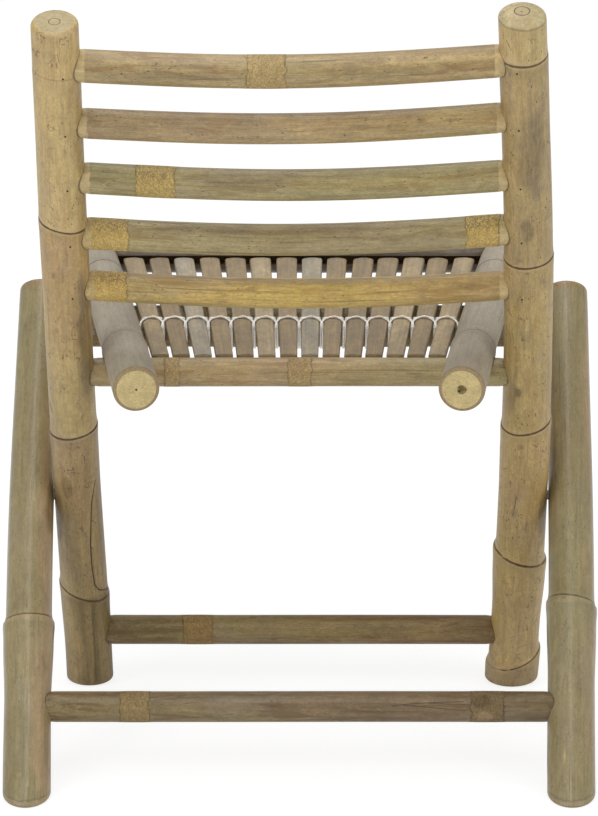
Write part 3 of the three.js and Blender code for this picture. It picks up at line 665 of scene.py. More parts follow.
class Look:
    """Builds one procedural material, node by node, over a colour that grows layer by layer."""

    def __init__(self, name, on_object=False):
        self.material = bpy.data.materials.new(name)
        self.material.use_nodes = True
        self.tree = self.material.node_tree
        self.tree.nodes.clear()
        if on_object:
            self.coordinate = self.node("ShaderNodeTexCoord", output="Object")
        else:
            self.coordinate = self.field("cane", "Vector")
        self.colour = None
        self.normal = None

    def node(self, kind, inputs=None, output=0, **settings):
        """Adds a node, feeds its inputs with numbers or other outputs, and gives one output of its own."""
        made = self.tree.nodes.new(kind)
        for key, value in settings.items():
            setattr(made, key, value)
        for key, value in (inputs or {}).items():
            if isinstance(value, Value):
                self.tree.links.new(value.socket, made.inputs[key])
            else:
                made.inputs[key].default_value = value
        return Value(self, made.outputs[output])

    def field(self, name, output="Fac"):
        """What is stored on the mesh under this name."""
        return self.node("ShaderNodeAttribute", output=output, attribute_name=name)

    def plain(self, colour):
        """A palette colour, or 0-255 values, as an output that can be made lighter or darker."""
        made = self.node("ShaderNodeRGB")
        made.socket.default_value = rgba(colour)
        return made

    def maths(self, operation, a, b=0.0, clamp=False):
        return self.node("ShaderNodeMath", {0: a, 1: b}, operation=operation, use_clamp=clamp)

    def scaled(self, factors):
        return self.node("ShaderNodeVectorMath", {0: self.coordinate, 1: factors}, operation="MULTIPLY")

    def noise(self, factors, detail=3.0, roughness=0.55, distortion=0.0):
        """Noise with this many lumps to the metre across, across and along the cane."""
        inputs = {"Vector": self.scaled(factors), "Scale": 1.0, "Detail": detail, "Roughness": roughness}
        return self.node("ShaderNodeTexNoise", {**inputs, "Distortion": distortion})

    def cells(self, factors):
        """Distance from the nearest of a cloud of points, this many to the metre."""
        inputs = {"Vector": self.scaled(factors), "Scale": 1.0}
        return self.node("ShaderNodeTexVoronoi", inputs, "Distance", feature="F1")

    def mix(self, share, a, b, blend="MIX"):
        return self.node("ShaderNodeMix", {0: share, 6: a, 7: b}, 2, data_type="RGBA", blend_type=blend)

    def lay(self, share, colour):
        """Lays a colour over what the look has so far."""
        self.colour = self.mix(share, self.colour, colour)

    def tint(self, colour):
        """Multiplies the look's colour so far by another."""
        self.colour = self.mix(1.0, self.colour, colour, "MULTIPLY")

    def bump(self, height, distance, strength):
        """Adds a relief to what the look's normal has so far."""
        inputs = {"Strength": strength, "Distance": distance, "Height": height}
        if self.normal:
            inputs["Normal"] = self.normal
        self.normal = self.node("ShaderNodeBump", inputs)

    def show(self, shader):
        """Makes a shader the material's surface."""
        output = self.tree.nodes.new("ShaderNodeOutputMaterial")
        self.tree.links.new(shader.socket, output.inputs["Surface"])
        return self.material

    def done(self, roughness, specular, metallic=0.0, coat=0.0):
        """Ends the material with a shader that has the colour and the relief made so far."""
        return self.show(self.node("ShaderNodeBsdfPrincipled", {
            "Base Color": self.colour,
            "Roughness": roughness,
            "Normal": self.normal,
            "Metallic": metallic,
            "Specular IOR Level": specular,
            "Coat Weight": coat,
            "Coat Roughness": 0.3,
        }))


def cane_look(name, second, streaky, mottled, stain, speckle, gloss,
              coat=0.0, hue=1.0, grime=0.5, worn_foot=0.0, blue=1.0, scarred=0.2):
    """The skin of a culm: soft mottling and streaks along it, dark node rings and shaved patches."""
    look = Look(name)
    tone = look.field("tone", "Color")
    fibre = look.noise((1400, 1400, 22), 3)
    streak = look.noise((260, 260, 11), 4, 0.62)
    blotch = look.noise((38, 38, 17), 5, 0.62, 0.4)
    mottle = look.noise((210, 210, 95), 4, 0.66, 0.5)
    grain = look.noise((640, 640, 380), 3, 0.7, 0.3)
    broad = look.noise((11, 11, 4.5), 3, 0.5)
    shade = fibre.about(0.9 * streaky) * streak.about(1.0 * streaky)
    shade = shade * blotch.about(0.7 * mottled) * mottle.about(0.75 * mottled) * grain.about(0.85 * mottled)
    look.colour = tone.times(shade)
    zone = look.noise((42, 42, 2.4), 3, 0.55, 0.4).step(0.47, 0.56)
    look.lay(zone * (0.6 * hue), look.plain(second).times(shade))
    cool = (lerp(1, 0.95, hue), 1.0, lerp(1, 0.9, hue), 1)
    warm = (lerp(1, 1.06, hue), lerp(1, 0.98, hue), lerp(1, 0.91, hue), 1)
    look.tint(look.mix(broad.step(0.38, 0.66), cool, warm))
    look.tint((1.0, 1.0, blue, 1))

    # Weather: greyed areas, brown stains and pale worn skin, all drawn out along the cane
    greyed = look.noise((24, 24, 9), 4, 0.6).step(0.5, 0.64, 0.0, 0.4)
    look.lay(greyed, look.mix(0.5, look.colour, look.plain((148, 140, 124)).times(mottle.about(0.7))))
    stained = look.noise((105, 105, 13), 5, 0.68, 0.7).step(0.52, 0.63) * stain
    look.lay(stained, look.mix(1.0, tone.times(0.74), (1.0, 0.86, 0.66, 1), "MULTIPLY"))
    worn = look.noise((130, 130, 34), 5, 0.7, 1.0).step(0.57, 0.66, 0.0, 0.42)
    look.lay(worn, look.mix(0.3, tone.times(1.32), rgba("straw")))

    # Dark and pale flecks, fine dry lines along the fibres, curved scratches, and mould
    in_places = look.noise((46, 46, 20), 3).step(0.48, 0.58)
    fleck = look.maths("MULTIPLY", look.cells((300, 300, 130)).step(0.2, 0.1) * in_places, speckle, True)
    look.lay(fleck, rgba("bark"))
    chip = look.cells((360, 330, 260)).step(0.16, 0.07) * blotch.step(0.55, 0.62)
    look.lay(look.maths("MULTIPLY", chip, speckle, True) * 0.6, rgba("cream"))
    line = look.noise((520, 520, 9), 3, 0.55, 0.4).step(0.61, 0.7) * min(1.0, 0.75 * streaky + 0.1)
    look.lay(line, tone.times(0.42))
    contour = abs(look.noise((44, 44, 24), 2, 0.5, 0.6) - 0.5)
    scratched = look.noise((30, 30, 18), 2).step(0.5, 0.57)
    scratch = contour.step(0.016, 0.006) * mottle.step(0.46, 0.56) * scratched
    look.lay(scratch * scarred, rgba("bark", 1.2))
    scuffed = look.noise((24, 24, 15), 2).step(0.5, 0.6)
    scuff = contour.step(0.05, 0.03) * mottle.step(0.5, 0.42) * scuffed
    look.lay(scuff * 0.4, tone.times(1.35))
    mould = look.noise((85, 85, 40), 6, 0.74, 0.3).step(0.56, 0.68) * grime
    look.lay(mould * 0.6, tone.times(0.48))

    # Node rings: a dark line in the groove, a pale band above it and a dusty one below
    ring = look.field("ring")
    below = look.field("below")
    ink = look.field("ink")
    under = below.step(0.1, -0.6)
    look.lay(ring.step(9, 2.5) * below.step(0.1, 0.7) * (ink * 0.3), tone.times(1.25))
    look.lay(ring.step(4.6, 2.4) * under * (ink * 0.4), tone.times(1.3))
    look.lay(ring.step(18, 3) * under * mottle.step(0.42, 0.6) * 0.4, tone.times(0.62))
    groove = (ring + mottle * 1.2 + blotch * 1.6).step(3.0, 2.0)
    look.lay(groove * (ink * 0.95), look.plain((74, 54, 30)).times(mottle.about(1.2)))

    # Shaved nodes: light squiggles on a darker ground, golden below where gilt is high
    gilt = look.field("gilt")
    rag = look.noise((95, 95, 70), 4, 0.65, 0.6)
    ragged = look.field("patch") + (rag - 0.5) * 11
    inside = ragged.step(-1.6, 1.8)
    rim = ragged.step(-1.6, -0.2) * ragged.step(1.2, 0.2)
    squiggle = look.noise((210, 210, 330), 3, 0.6, 1.7)
    across = look.node("ShaderNodeSeparateXYZ", {0: look.coordinate}, 1)
    upper = across.step(0.001, -0.006) * (gilt * 0.75)
    ground = look.mix(gilt, tone.times(0.78), rgba("gold", 0.8))
    ground = look.mix(upper, ground, tone.times(0.62))
    ground = look.mix(1.0, ground, look.mix(blotch, (0.8, 0.8, 0.8, 1), (1.2, 1.2, 1.2, 1)), "MULTIPLY")
    thread = look.mix(gilt, tone.times(1.4), rgba("gold", 1.42))
    look.lay(inside * 0.78, look.mix(abs(squiggle - 0.5).step(0.07, 0.02), ground, thread))
    look.lay(rim * 0.3 * blotch, tone.times(0.45))

    # Whittled ends, bevels, worn feet, painted shade at the feet's bottom edge, dry cracks and painted shade
    # where canes touch
    edge = (rag - 0.5) * 7
    whittled = look.field("pale") + edge
    pale = whittled.step(-0.3, 0.5)
    look.lay(pale * 0.68, look.plain((201, 178, 128)).times(mottle.about(1.2)))
    look.lay(pale * whittled.step(0.9, 0.3) * 0.3, tone.times(0.5))
    bevel = (look.field("bevel") + edge * 0.4).step(0.0, 0.8)
    look.lay(bevel * 0.8, look.plain((145, 121, 81)).times(grain.about(2.0)))
    foot = look.field("foot") + edge * 0.8
    look.lay(foot.step(7.0, 5.5, 0.0, 0.8 * worn_foot), look.plain((160, 137, 104)).times(grain.about(1.5)))
    look.lay(foot.step(8.2, 7.0) * foot.step(5.4, 6.4) * (0.8 * worn_foot), tone.times(0.35))
    # Painted shade: the lowest few millimetres of each foot darken where it meets the floor.
    look.lay(foot.step(2.6, 0.6, 0.0, 0.55), tone.times(0.4))
    look.lay(look.field("crack").step(0.3, 0.9), rgba("bark", 0.6))
    # Painted shade: the skin darkens within a millimetre of another cane.
    look.lay(look.field("contact_shade").step(0.8, 0.99, 0.0, 0.75), tone.times(0.25))

    look.bump(fibre * 0.3 + streak * 0.5, 0.0005, 0.6 * min(1.0, streaky + 0.2))
    look.bump(look.noise((60, 60, 22), 4, 0.6) + mottle * 0.3, 0.0018, 0.5)
    look.bump(squiggle * inside, 0.0022, 1.0)
    look.bump((fleck + (line + rim)) * -1.0, 0.0006, 0.7)
    return look.done(mottle * 0.3 + gloss + inside * 0.25, 0.45, coat=coat)


def cut_look():
    """A sawn end: cream, with fibre dots, saw marks across it, a brown rim and the pith."""
    look = Look("sawn_end")
    radial = look.field("radial")
    pith = look.field("pith")
    dots = look.cells((1300, 1300, 40))
    blotch = look.noise((90, 90, 30), 4, 0.6)
    hatch = look.noise((900, 260, 20), 3, 0.6, 0.8)
    look.colour = look.field("sawn", "Color").times(blotch.about(0.7) * hatch.about(1.1))
    look.lay(dots.step(0.42, 0.16) * radial.step(0.1, 0.9, 0.3, 0.7), rgba("honey", 0.62))
    look.lay((radial + (blotch - 0.5) * 0.06).step(0.91, 0.96, 0.0, 0.6), rgba("bark", 2.0))
    look.lay(pith.step(1.13, 1.03) * pith.step(0.87, 0.97) * 0.8, rgba("bark", 0.9))
    look.lay(pith.step(0.9, 0.6, 0.0, 0.18), rgba("honey", 0.8))
    look.bump(hatch + dots * 0.5, 0.0003, 0.8)
    return look.done(0.75, 0.25)


def hollow_look():
    """The dark brown inside of a groove or saddle."""
    look = Look("hollow_cane")
    grain = look.noise((700, 700, 60), 4, 0.6)
    look.colour = look.plain("bark").times(grain.about(1.4))
    look.bump(grain, 0.0006, 0.8)
    return look.done(0.85, 0.15)


def slat_look():
    """A split strip of weathered cane: grey-taupe with dense fibre lines, and painted shade on its sides and
    underside.
    """
    look = Look("seat_slat_cane")
    tone = look.field("tone", "Color")
    fibre = look.noise((1500, 1500, 14), 3)
    streak = look.noise((330, 330, 6), 4, 0.6)
    blotch = look.noise((60, 60, 26), 5, 0.62, 0.5)
    mottle = look.noise((260, 260, 110), 4, 0.66, 0.5)
    look.colour = tone.times(fibre.about(0.6) * streak.about(0.6) * blotch.about(0.8) * mottle.about(0.7))
    look.tint(look.mix(blotch.step(0.4, 0.62), (0.99, 1.0, 1.01, 1), (1.03, 1.0, 0.93, 1)))
    fleck = look.cells((420, 420, 110)).step(0.2, 0.1) * blotch.step(0.52, 0.62)
    look.lay(fleck * 0.6, rgba("bark"))
    # Painted shade on each strip's sides and underside.
    look.lay(look.field("edge").step(0.25, 1.0) * 0.55, tone.times(0.42))
    look.lay((look.field("ring") + blotch * 1.6).step(2.6, 1.2) * 0.55, rgba("bark", 1.1))
    look.bump(fibre + streak, 0.0004, 0.7)
    look.bump(look.noise((90, 90, 30), 3), 0.0008, 0.4)
    return look.done(blotch * 0.3 + 0.5, 0.3)


def cord_look():
    """Laid cotton cord: off-white, its lay as slanting stripes of painted shade in the grooves and faint
    painted light on the strands.
    """
    look = Look("lashing_cotton")
    lay = look.maths("SINE", look.field("lay"))
    fuzz = look.noise((2600, 2600, 1500), 3, 0.6)
    dirt = look.noise((120, 120, 60), 3, 0.6)
    # Painted shade in the lay's grooves, and a faint painted highlight on its strands.
    shade = fuzz.about(0.25) * dirt.about(0.3) * lay.step(-1.0, -0.2, 0.9, 1.04)
    look.colour = look.field("tone", "Color").times(shade)
    look.bump(lay * 0.5 + fuzz * 0.6, 0.0003, 0.8)
    return look.done(0.92, 0.15)


def metal_look(name, colour, rust, roughness):
    """Wire nail or pin: dull metal with rust blooms."""
    look = Look(name, on_object=True)
    bloom = look.noise((900, 900, 900), 4, 0.65)
    grain = look.noise((3000, 3000, 3000), 2, 0.5)
    mask = bloom.step(0.42, 0.66, 0.0, rust)
    look.colour = look.plain(colour).times(grain.about(0.4))
    look.lay(mask, RUST_BLOOM)
    look.bump(bloom, 0.0002, 0.6)
    rough = look.maths("ADD", mask * 0.4, roughness, True)
    return look.done(rough, 0.5, metallic=look.maths("SUBTRACT", 0.9, mask, True))


LOOKS = {
    "post": cane_look("post_skin", "wheat", 0.42, 1.05, 0.45, 1.0, 0.3,
                      coat=0.12, grime=0.8, hue=0.6, blue=0.92, scarred=0.65),
    "leg": cane_look("leg_skin", "moss", 0.45, 0.8, 0.35, 0.6, 0.2,
                     coat=0.3, grime=0.7, hue=0.4, worn_foot=0.5, scarred=0.12),
    "rung": cane_look("rung_skin", "moss", 0.75, 1.1, 0.75, 0.8, 0.26, coat=0.12, grime=0.8, hue=0.6),
    "rail": cane_look("rail_skin", "grey", 0.4, 0.7, 0.12, 0.6, 0.36, hue=0.2, scarred=0.12),
    "dark": hollow_look(),
    "cut": cut_look(),
    "slat": slat_look(),
    "cord": cord_look(),
    "nail": metal_look("nail_iron", "iron", 0.8, 0.45),
    "pin": metal_look("pin_steel", (120, 117, 112), 0.25, 0.32),
}


# The canes of the frame
FLAT = {"kind": "flat", "chamfer": END_CHAMFER}
FLOOR = {"kind": "floor", "chamfer": FLOOR_CHAMFER}


def on_post(height):
    return POST_UP * height


def on_leg(height):
    return LEG_FOOT + LEG_UP * height


BETWEEN_POSTS = (on_post, post_x, post_radius)
BETWEEN_LEGS = (on_leg, leg_x, leg_radius)


def cross_bar(name, start, end, radius, holds, bow=None, pale=0.0, **marks):
    """A bar whose tapered ends go into two side canes."""
    along = unit(end - start)
    first, last = start - along * TENON_PAST_AXIS, end + along * TENON_PAST_AXIS
    line = Line(first, last, bow, max(holds) + TENON_PAST_AXIS + TENON_SHOULDER_OUT)
    ends = {}
    for end_name, hold in zip(("start", "end"), holds):
        depth = math.sqrt(hold ** 2 - (radius * 0.9) ** 2) + TENON_PAST_AXIS - 2
        ends[end_name] = {"kind": "tenon", "depth": depth, "pale": pale and hold + TENON_PAST_AXIS + pale}
    return Culm(name, line, (radius, radius), sides=40, undulation=0.22, **ends, **marks)


def bar_between(name, pair, heights, radius, patches, **marks):
    """A bar between the two posts or the two legs, with its shaved patches given by their x."""
    point_at, x_at, radius_at = pair
    start, end = (with_x(point_at(heights[s]), x_at(s, heights[s])) for s in SIDES)
    patches = [(start[0] + TENON_PAST_AXIS - x, half, gilt) for x, half, gilt in patches]
    holds = [radius_at(s, heights[s]) for s in SIDES]
    return cross_bar(name, start, end, radius, holds, patches=patches, **marks)


# Each ring: distance along, swelling, how dark its groove is, the step of radius below it, and tilt
POST_RINGS = {
    "left": [(130.5, 0.9, 1.0, 0.9, -9), (345, 0.9, 1.0, 0.5, 4), (605, 0.5, 1.0, 0.4, -5),
             (788, 0.2, 0.25, 0.2, -3)],
    "right": [(38, 0.5, 1.0, 2.4, 9), (178, 0.9, 1.0, 2.3, -9), (352, 0.7, 1.0, 0.8, 4.5),
              (562, 0.6, 1.0, 0.5, 3), (804, 0.4, 0.9, 0.5, 1.5), (846, 0.1, 0.35, 0.0, 0)],
}
LEG_RINGS = {"left": [(190.5, 1.2, 0.75, 2.2, 2)], "right": [(211, 1.2, 0.7, 1.8, -4)]}
# A leg's skin tapers a little more than its CAD solid does
LEG_RADII = (24.1, 22.1)
# Stops of colour: distance along, and the colour there
POST_TONES = {
    "left": [(0, "umber"), (128, "umber"), (134, "brown"), (342, "clay"), (349, "tan"),
             (600, "wheat"), (609, "straw")],
    "right": [(0, "tan"), (35, "tan"), (42, "wheat"), (560, "wheat"), (566, "oat"),
              (798, "oat"), (808, "straw"), (845, "straw"), (847, "bone")],
}
# Each crack: its path, as distances along and angles in degrees, its depth and half its width
POST_CRACKS = {
    "left": [
        ([(128, 80), (133, 58), (138, 42), (147, 31), (173, 27), (202, 27), (239, 34), (256, 38), (275, 49),
          (282, 55)], 1.1, 0.85),
        ([(226, 47), (231, 40), (234, 33)], 0.5, 0.5),
        ([(196, 33), (199, 27)], 0.5, 0.6),
    ],
    "right": [([(268, -20), (250, -24)], 0.4, 0.5)],
}
# Each wash: colour, distance along, half its length, angle, half its width in degrees, strength
POST_WASHES = {
    # Left post: the bark oval at 214 and the umber oval at 240, on the leg's side, are painted shade where
    # the leg crosses.
    "left": [
        ("smoke", 465, 95, 48, 26, 0.75), ("straw", 420, 80, -15, 30, 0.4), ("rose", 300, 50, -35, 42, 0.6),
        ("smoke", 279, 16, -24, 15, 0.6), ("bark", 214, 17, -64, 17, 0.75), ("umber", 240, 45, -60, 22, 0.5),
        ("rose", 574, 30, -15, 50, 0.6), ("smoke", 551, 5, -28, 6, 0.8), ("bark", 552, 16, -6, 2.4, 0.45),
        ("straw", 578, 10, -6, 7, 0.7), ("umber", 235, 70, 70, 30, 0.5), ("brown", 60, 60, -35, 26, 0.5),
        ("bark", 62, 62, 19, 3.0, 0.75), ("straw", 740, 90, -20, 34, 0.3), ("brown", 700, 110, 66, 26, 0.5),
    ],
    "right": [
        # Right post: the umber oval at 236, on the leg's side, is painted shade where the leg crosses.
        ("smoke", 706, 62, 12, 36, 0.6), ("smoke", 733, 24, 34, 20, 0.35), ("smoke", 608, 15, -5, 16, 0.8),
        ("bark", 404, 7, -25, 9, 0.6), ("bark", 247, 8, -24, 9, 0.45), ("bark", 335, 4, -14, 9, 0.4),
        ("umber", 236, 45, 64, 30, 0.6), ("smoke", 18, 20, 10, 60, 0.4), ("rose", 300, 44, -30, 50, 0.35),
        ("straw", 506, 14, 6, 8, 0.5), ("straw", 486, 10, -4, 6, 0.5), ("straw", 522, 7, -10, 5, 0.45),
        ("rose", 765, 30, -10, 60, 0.5), ("rose", 120, 40, 0, 45, 0.3), ("umber", 396, 24, -42, 14, 0.35),
    ],
}
# Each leg's long grey wash, down its outer rim, is a painted reflection.
LEG_WASHES = {
    "left": [
        ("blush", 330, 190, 66, 52, 0.85), ("umber", 318, 34, 66, 26, 0.6), ("blush", 80, 125, 56, 56, 0.85),
        ("grey", 300, 330, -82, 16, 0.5), ("umber", 40, 60, -70, 22, 0.4), ("straw", 186, 4, 0, 75, 0.35),
        ("umber", 60, 40, 58, 14, 0.45), ("moss", 120, 60, -30, 40, 0.4),
    ],
    "right": [
        ("umber", 400, 190, -68, 34, 0.5), ("blush", 440, 150, 74, 44, 0.7), ("grey", 300, 330, 86, 12, 0.4),
        ("clay", 62, 30, 46, 15, 0.5), ("umber", 222, 10, -50, 18, 0.5), ("straw", 206, 4, 0, 75, 0.3),
        ("blush", 250, 40, 50, 30, 0.5), ("straw", 34, 15, -18, 2.5, 0.8), ("blush", 120, 60, 62, 22, 0.4),
    ],
}

LEG_TOP = {**FLAT, "chamfer": 5.0, "bevel": 11.0}
POST_TOP = {"left": {**FLAT, "chamfer": 5.0}, "right": {"kind": "dome", "hole": 0.8}}
POST_PITH = {"left": 5.6, "right": 7.4}
posts, legs = {}, {}
for number, (side, sign) in enumerate(SIDES.items()):
    foot = with_x(on_post(0), sign * POST_FOOT_X[side])
    top = with_x(on_post(POST_LENGTH[side]), sign * POST_TOP_X[side])
    posts[side] = Culm(
        f"back_post_{side}", Line(foot, top, ACROSS * sign * POST_BOW[side]),
        (POST_RADIUS_FOOT[side], POST_RADIUS_TOP), rings=POST_RINGS[side], start=FLOOR, end=POST_TOP[side],
        tones=POST_TONES[side], cracks=POST_CRACKS[side], washes=POST_WASHES[side], seed=1 + number,
        sides=80, step=3.5, undulation=0.5, pith=POST_PITH[side], sawn="bone")
    foot = with_x(on_leg(0), sign * LEG_FOOT_X)
    top = with_x(on_leg(LEG_LENGTH[side]), sign * LEG_TOP_X[side])
    legs[side] = Culm(
        f"leg_{side}", Line(foot, top, ACROSS * sign * leg_bow(side)), LEG_RADII, rings=LEG_RINGS[side],
        start=FLOOR, end=LEG_TOP, tones=("olive",), washes=LEG_WASHES[side], seed=3 + number,
        sides=72, undulation=0.45, pith=3.0)

# The rungs of the back, from the top. Each patch: its x, half its length, and how golden it is
SLAT_TONES = [
    ("tan", "tan", "oat", "oat"), ("rose", "tan", "wheat"), ("sage",), ("sage", "moss", "sage"),
    ("honey", "gold", "honey"),
]
SLAT_PATCHES = [
    [(31.3, 19, 0.35)], [], [(140, 19.5, 0.8)], [(201, 33, 1.0), (-181, 17, 1.0)], [(203, 32, 1.0)],
]
SLAT_WASHES = [
    [("clay", 95, 75, -10, 70, 0.6), ("smoke", 130, 60, 30, 16, 0.4), ("straw", 100, 48, -4, 7, 0.5),
     ("straw", 60, 14, 10, 12, 0.5), ("straw", 328, 5, -24, 20, 0.9), ("straw", 368, 3.5, 12, 11, 0.9),
     ("straw", 402, 62, -12, 11, 0.7), ("straw", 395, 55, 46, 8, 0.5), ("smoke", 360, 40, 18, 16, 0.4),
     ("straw", 72, 26, -14, 14, 0.35), ("brown", 395, 60, -60, 30, 0.5)],
    [("clay", 120, 95, -20, 50, 0.6), ("smoke", 357, 5, -9, 13, 0.6), ("straw", 405, 42, -18, 18, 0.5),
     ("smoke", 260, 150, -66, 22, 0.4)],
    [("smoke", 190, 50, -2, 26, 0.6), ("smoke", 280, 120, -40, 22, 0.35), ("straw", 418, 16, 6, 6, 0.6),
     ("olive", 72, 50, 10, 60, 0.7), ("honey", 310, 130, 10, 24, 0.4)],
    [("umber", 225, 160, -34, 24, 0.6), ("moss", 360, 60, 10, 60, 0.6), ("umber", 300, 60, 4, 8, 0.35)],
    [("umber", 235, 120, -52, 26, 0.55), ("umber", 58, 12, -40, 26, 0.6), ("gold", 230, 150, 30, 24, 0.5)],
]
rungs = [
    bar_between(
        f"back_slat_{i + 1}", BETWEEN_POSTS, {s: SLAT_HEIGHTS[s][i] for s in SIDES}, SLAT_RADIUS[i],
        SLAT_PATCHES[i], bow=BACKWARD * SLAT_BOW, pale=PALE_LENGTH, tones=SLAT_TONES[i],
        washes=SLAT_WASHES[i], seed=10 + i)
    for i in range(len(SLAT_RADIUS))
]


def straight_bar(name, pair, size, patches, tones, seed, **marks):
    """A bar that meets both side canes at the same height. Its size is that height and its radius."""
    heights = dict.fromkeys(SIDES, size[0])
    return bar_between(name, pair, heights, size[1], patches, tones=tones, seed=seed, **marks)


support_bar = straight_bar(
    "seat_support_bar", BETWEEN_POSTS, SUPPORT_BAR, [(128, 8, 0.2), (-1, 12, 0.25)],
    ("oat", "oat", "sage"), 20,
    washes=[("smoke", 75, 16, -10, 60, 0.5), ("clay", 232, 14, -20, 50, 0.7)])
post_stretcher = straight_bar(
    "post_stretcher", BETWEEN_POSTS, POST_STRETCHER, [(107, 16, 0.25)], ("peat", "peat", "rust"), 21,
    washes=[("rust", 124, 18, 0, 80, 0.6), ("earth", 60, 50, 10, 60, 0.4)])
leg_stretcher = straight_bar(
    "leg_stretcher", BETWEEN_LEGS, LEG_STRETCHER, [(165.6, 15, 0.3), (-190, 17, 0.1)],
    ("umber", "smoke", "smoke", "smoke", "earth"), 22,
    cracks=[([(372, -6), (398, -15), (422, -20), (446, -22)], 0.25, 0.5),
            ([(384, -8), (405, -3), (428, 6), (447, 12)], 0.2, 0.4),
            ([(410, -16), (430, -12), (452, -9)], 0.15, 0.35)],
    washes=[("earth", 508, 26, 0, 90, 0.6), ("bark", 464, 11, -22, 30, 0.8), ("rose", 465, 10, 34, 24, 0.6),
            ("earth", 430, 34, -40, 16, 0.5), ("smoke", 112, 15, 0, 90, 0.5)])
# The top bar's dark earth tone is painted shade from the seat above it.
top_bar = straight_bar(
    "leg_top_bar", BETWEEN_LEGS, TOP_BAR, [(100, 10, 0.2)], ("earth", "earth"), 23, bow=UP * 1.6)

for side in SIDES:
    near_post = [*rungs, support_bar, post_stretcher, legs[side]]
    culm_piece(posts[side], "back_frame", "post", near_post)
    culm_piece(legs[side], "leg_frame", "leg", [leg_stretcher, top_bar, posts[side]])
for rung in rungs:
    culm_piece(rung, "back_frame", "rung", list(posts.values()))

# The seat
RAIL_END = {**FLAT, "chamfer": 3.6, "bevel": 5.0, "slant": 0.0}
RAIL_PITH = {"left": 1.0, "right": 4.3}
RAIL_RAGGED = {"left": 0.0, "right": 0.22}
rails = {}
for number, (side, sign) in enumerate(SIDES.items()):
    front, rear = -RAIL_AHEAD, BARS_APART + RAIL_BEHIND
    line = Line(on_seat(front, 0, sign * rail_half(front)), on_seat(rear, 0, sign * rail_half(rear)))
    node = line.length - RAIL_BEHIND
    rails[side] = Culm(
        f"seat_rail_{side}", line, (RAIL_RADIUS_FRONT, RAIL_RADIUS_REAR),
        rings=[(node - RAIL_SECOND_NODE, 0.6, 0.6, 0.3, 0), (node - RAIL_NODE_AHEAD, 1.2, 0.35, -0.8, 0)],
        start=FLAT, end={**RAIL_END, "hole": RAIL_PITH[side], "ragged": RAIL_RAGGED[side]},
        tones=("grey",), seed=30 + number, sides=64, undulation=0.35, pith=RAIL_PITH[side],
    )


def closed_outward(points, faces):
    """Turns a closed shape's faces outwards."""
    points = np.array(points, float)
    volume = 0.0
    for face in faces:
        for j, k in zip(face[1:], face[2:]):
            volume += float(points[face[0]] @ np.cross(points[j], points[k]))
    return points, (faces if volume > 0 else [tuple(reversed(f)) for f in faces])


def prism(outline, half_width, centre):
    """A closed prism: its outline in the seat's plane of behind and above, run along x."""
    flat = [centre + SEAT_BACK * b + SEAT_UP * a for b, a in outline]
    points = [p + ACROSS * half_width for p in flat] + [p - ACROSS * half_width for p in flat]
    count = len(outline)
    faces = [tuple(range(count)), tuple(range(2 * count - 1, count - 1, -1))]
    faces += [(i, count + i, count + (i + 1) % count, (i + 1) % count) for i in range(count)]
    return closed_outward(points, faces)


def saddle(bar_point, bar_radius, flare, x):
    """The shape that a bar's open bed takes out of a rail, with one wall flared for the bar's way out."""
    bed = bar_radius + SADDLE_GAP
    depth = RAIL_RADIUS_REAR * 2
    shoulder, spread = math.sin(flare) * bed, math.cos(flare) * bed
    arc = [(bed * math.cos(a), bed * math.sin(a)) for a in np.linspace(flare, math.pi, 25)]
    outline = arc + [(-bed, -depth), (spread + (depth + shoulder) * math.tan(flare), -depth)]
    return prism(outline, RAIL_RADIUS_REAR + 20, with_x(bar_point, x))


for side, sign in SIDES.items():
    cutters = [
        saddle(SUPPORT_POINT, SUPPORT_BAR[1], 0.0, sign * rail_half(BARS_APART)),
        saddle(TOP_BAR_POINT, TOP_BAR[1], SADDLE_FLARE, sign * rail_half(0)),
    ]
    culm_piece(rails[side], "seat_frame", "rail", [support_bar, top_bar], cutters)

for bar in (support_bar, post_stretcher):
    culm_piece(bar, "back_frame", "rung", [*posts.values(), *rails.values()])
for bar in (leg_stretcher, top_bar):
    culm_piece(bar, "leg_frame", "rung", [*legs.values(), *rails.values()])


def slat_above(behind):
    """How far the slats' middle lies above the rails' axes."""
    return -lerp(*SEAT_SLAT_DROP, (behind + FRONT_RAIL_AHEAD) / (BARS_APART + FRONT_RAIL_AHEAD))


front_half = rail_half(-FRONT_RAIL_AHEAD)
# The front rail's very dark tone is painted shade: the rail lies in shade under the slats' front ends.
front_rail = cross_bar(
    "seat_front_rail", *(on_seat(-FRONT_RAIL_AHEAD, 0, sign * front_half) for sign in SIDES.values()),
    FRONT_RAIL_RADIUS, [RAIL_RADIUS_FRONT] * 2, tones=("painted_shade",), seed=40)
groove_floor = FRONT_RAIL_RADIUS - GROOVE_DEPTH
groove_low, groove_high = (slat_above(-FRONT_RAIL_AHEAD) + s * GROOVE_HEIGHT / 2 for s in (-1, 1))
groove_mouth = groove_floor + 40
groove_outline = [
    (groove_floor, groove_low), (groove_mouth, groove_low),
    (groove_mouth, groove_high), (groove_floor, groove_high),
]
groove = prism(groove_outline, front_half - RAIL_RADIUS_FRONT, on_seat(-FRONT_RAIL_AHEAD, 0, 0))
culm_piece(front_rail, "seat_frame", "rung", list(rails.values()), [groove])

